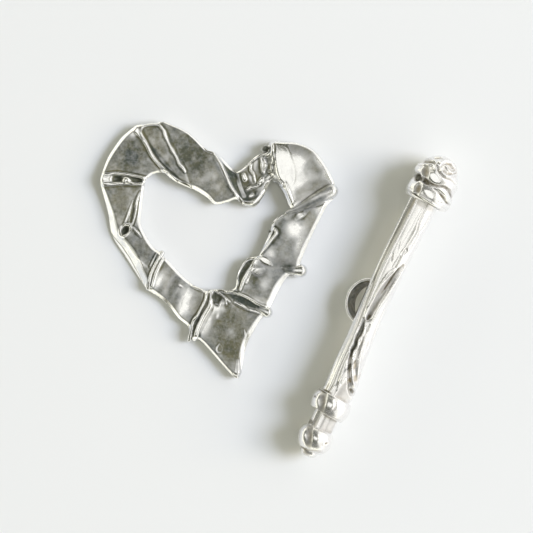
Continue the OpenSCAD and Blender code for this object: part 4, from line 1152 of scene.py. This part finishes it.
def bar_shells():
    """The shaft, loop, knob, two beads, tip and neck, which reach into one another."""
    return [
        shaft_shell(),
        loop_shell(),
        turned(KNOB_ROWS, 130, 150, KNOB_LINES, KNOB_DENTS, KNOB_STAINS_AND_PAINTED_LIGHT, hammered=0.025, pivot=35,
               wobble=0.012),
        turned(BEAD_ROWS, 60, 110, BEAD_LINES, BEAD_DENTS, BEAD_STAINS_AND_PAINTED_LIGHT, hammered=0.012, pivot=6.6, tilt=-6),
        turned(END_ROWS, 60, 110, END_LINES, END_DENTS, END_STAINS_AND_PAINTED_LIGHT, hammered=0.012, pivot=2.2),
        turned(TIP_ROWS, 24, 60, [], [], TIP_STAINS_AND_PAINTED_LIGHT, hammered=0.010, pivot=0.6),
        neck_shell(),
    ]


# Materials

MIX_A, MIX_B, MIX_RESULT = 6, 7, 2    # the colour sockets of a Mix node


def feed(tree, socket, v):
    """Put a number, a colour or another node's output into a socket."""
    if isinstance(v, tuple):
        socket.default_value = (*v, 1)
    elif isinstance(v, (int, float)):
        socket.default_value = v
    else:
        tree.links.new(v, socket)


def math_node(tree, operation, *inputs, clamp=False):
    """The result of one calculation."""
    n = tree.nodes.new("ShaderNodeMath")
    n.operation = operation
    n.use_clamp = clamp
    for k, v in enumerate(inputs):
        feed(tree, n.inputs[k], v)
    return n.outputs[0]


def blend(tree, share, a, b):
    """The colour that lies a share of the way from a to b."""
    n = tree.nodes.new("ShaderNodeMix")
    n.data_type = "RGBA"
    for k, v in ((0, share), (MIX_A, a), (MIX_B, b)):
        feed(tree, n.inputs[k], v)
    return n.outputs[MIX_RESULT]


def noise_node(tree, vector, scale, detail, roughness):
    """Procedural noise at a place."""
    n = tree.nodes.new("ShaderNodeTexNoise")
    for name, v in (("Vector", vector), ("Scale", scale), ("Detail", detail), ("Roughness", roughness)):
        feed(tree, n.inputs[name], v)
    return n.outputs["Fac"]


def node_silver(name, clean, dark, brown, smooth, rough, metal, dull, grain, relief):
    """Silver with tarnish in its hollows, read from one vertex attribute that also holds painted shade,
    reflections and highlights. Its red is how far the silver is dimmed and its green the brownness.
    """
    mat = bpy.data.materials.new(name)
    mat.use_nodes = True
    tree = mat.node_tree
    shader = tree.nodes["Principled BSDF"]
    place = tree.nodes.new("ShaderNodeTexCoord").outputs["Object"]
    attribute = tree.nodes.new("ShaderNodeAttribute")
    attribute.attribute_name = "patina_and_painted_light"
    split = tree.nodes.new("ShaderNodeSeparateColor")
    feed(tree, split.inputs["Color"], attribute.outputs["Color"])
    patina_and_painted_light, brownness = split.outputs["Red"], split.outputs["Green"]
    blotch = noise_node(tree, place, 2300.0, 6.0, 0.72)
    warm = noise_node(tree, place, 1300.0, 4.0, 0.65)
    fine = noise_node(tree, place, 3800.0, 3.0, 0.6)

    mottle = math_node(tree, "MULTIPLY_ADD", blotch, 2.6, -1.3)
    share = math_node(tree, "MULTIPLY_ADD", patina_and_painted_light, grain, 0.06)
    dimming = math_node(tree, "MULTIPLY_ADD", mottle, share, patina_and_painted_light, clamp=True)
    hue = math_node(tree, "MULTIPLY_ADD", warm, 3.0, -1.5)
    browned = math_node(tree, "MULTIPLY_ADD", hue, 0.5, brownness, clamp=True)
    # The dark and brown colours serve both the tarnish and the painted shade and reflections.
    tarnish = blend(tree, browned, dark, brown)
    feed(tree, shader.inputs["Base Color"], blend(tree, dimming, clean, tarnish))
    feed(tree, shader.inputs["Metallic"], math_node(tree, "MULTIPLY_ADD", dimming, -dull, metal))

    gloss = tree.nodes.new("ShaderNodeMapRange")
    for socket, v in (("To Min", smooth), ("To Max", rough), ("Value", dimming)):
        feed(tree, gloss.inputs[socket], v)
    feed(tree, shader.inputs["Roughness"], gloss.outputs["Result"])

    bump = tree.nodes.new("ShaderNodeBump")
    for socket, v in (("Strength", relief), ("Distance", 0.00004), ("Height", fine)):
        feed(tree, bump.inputs[socket], v)
    feed(tree, shader.inputs["Normal"], bump.outputs["Normal"])
    return mat


heart_silver = node_silver(
    "heart_silver", clean=(0.92, 0.92, 0.92), dark=(0.046, 0.057, 0.046), brown=(0.152, 0.143, 0.078),
    smooth=0.22, rough=0.42, metal=1.0, dull=0.65, grain=0.22, relief=0.25)
bar_silver = node_silver(
    "bar_silver", clean=(0.94, 0.93, 0.92), dark=(0.052, 0.057, 0.042), brown=(0.34, 0.28, 0.17),
    smooth=0.24, rough=0.42, metal=0.88, dull=0.5, grain=0.30, relief=0.20)

piece("heart_ring_silver", heart_shells(), "heart_ring", heart_silver)
piece("toggle_bar_silver", bar_shells(), "toggle_bar", bar_silver)


# Pale floor

floor_mesh = bpy.data.meshes.new("floor")
FLOOR = 2    # half its side, in metres
corners = [(-FLOOR, -FLOOR, 0), (FLOOR, -FLOOR, 0), (FLOOR, FLOOR, 0), (-FLOOR, FLOOR, 0)]
floor_mesh.from_pydata(corners, [], [(0, 1, 2, 3)])
floor = bpy.data.objects.new("floor", floor_mesh)
bpy.context.collection.objects.link(floor)
floor.location.z = -0.00001
pale = bpy.data.materials.new("pale")
pale.use_nodes = True
surface = pale.node_tree.nodes["Principled BSDF"]
surface.inputs["Base Color"].default_value = (0.756, 0.762, 0.720, 1)
surface.inputs["Roughness"].default_value = 0.9
surface.inputs["Specular IOR Level"].default_value = 0.1
floor_mesh.materials.append(pale)


# Soft studio light

def softbox(name, size, toward, distance, power, colour):
    """A square light that faces the clasp from a direction given as azimuth from +X and elevation."""
    light = bpy.data.lights.new(name, "AREA")
    light.shape = "SQUARE"
    light.size = size
    light.energy = power
    light.color = colour
    obj = bpy.data.objects.new(name, light)
    az, el = math.radians(toward[0]), math.radians(toward[1])
    way = Vector((math.cos(az) * math.cos(el), math.sin(az) * math.cos(el), math.sin(el)))
    obj.location = way * distance
    obj.rotation_mode = "QUATERNION"
    obj.rotation_quaternion = way.to_track_quat("Z", "Y")
    bpy.context.collection.objects.link(obj)
    # The silver mirrors the studio walls instead, so that it isn't blown out on its right side
    obj.visible_glossy = False


softbox("key", 0.84, (3, 39), 1.8, 31.0, (0.68, 0.74, 1.0))
softbox("low warm", 0.72, (0, 22), 1.8, 11.5, (1.0, 0.83, 0.51))

world = bpy.data.worlds.new("studio")
bpy.context.scene.world = world
world.use_nodes = True
studio = world.node_tree
studio.nodes.clear()


def ramp(v, low, high):
    """A soft step from 0 at low to 1 at high."""
    n = studio.nodes.new("ShaderNodeMapRange")
    n.interpolation_type = "SMOOTHSTEP"
    for socket, w in (("From Min", low), ("From Max", high), ("Value", v)):
        feed(studio, n.inputs[socket], w)
    return n.outputs["Result"]


def times(a, b):
    """The product of two values."""
    return math_node(studio, "MULTIPLY", a, b)


def mixed(a, share_a, b, share_b, operation="ADD"):
    """The sum or difference of two values, each times its share."""
    return math_node(studio, operation, times(a, share_a), times(b, share_b))


direction = studio.nodes.new("ShaderNodeSeparateXYZ")
feed(studio, direction.inputs[0], studio.nodes.new("ShaderNodeTexCoord").outputs["Generated"])
sx, sy, sz = direction.outputs
tone = blend(studio, ramp(sx, 0.20, 0.42), (0.08, 0.082, 0.045), (0.34, 0.34, 0.25))
# A bright open band near the floor
tone = blend(studio, ramp(sz, 0.42, 0.22), tone, (2.10, 2.07, 1.78))
# The panel overhead reaches far to the left, square to the bar
leftward = mixed(sy, math.sin(lean), sx, math.cos(lean), "SUBTRACT")
upward = mixed(sx, math.sin(lean), sy, math.cos(lean))
across = times(ramp(leftward, 0.75, 0.61), ramp(leftward, -0.40, -0.26))
along = times(ramp(upward, 0.36, 0.22), ramp(upward, -0.36, -0.22))
tone = blend(studio, times(across, along), tone, (1.60, 1.59, 1.50))
# The wall on the right, and its brightest part behind the key light
tone = blend(studio, times(ramp(sz, 0.80, 0.70), ramp(sx, 0.30, 0.46)), tone, (1.70, 1.68, 1.58))
KEY_X, KEY_Z = 0.776, 0.629    # the way to the key light
tone = blend(studio, ramp(mixed(sx, KEY_X, sz, KEY_Z), 0.94, 0.985), tone, (3.0, 2.96, 2.84))
background = studio.nodes.new("ShaderNodeBackground")
background.inputs["Strength"].default_value = 0.71
feed(studio, background.inputs["Color"], tone)
target = studio.nodes.new("ShaderNodeOutputWorld")
feed(studio, target.inputs["Surface"], background.outputs[0])

bpy.context.scene.view_settings.view_transform = "Standard"
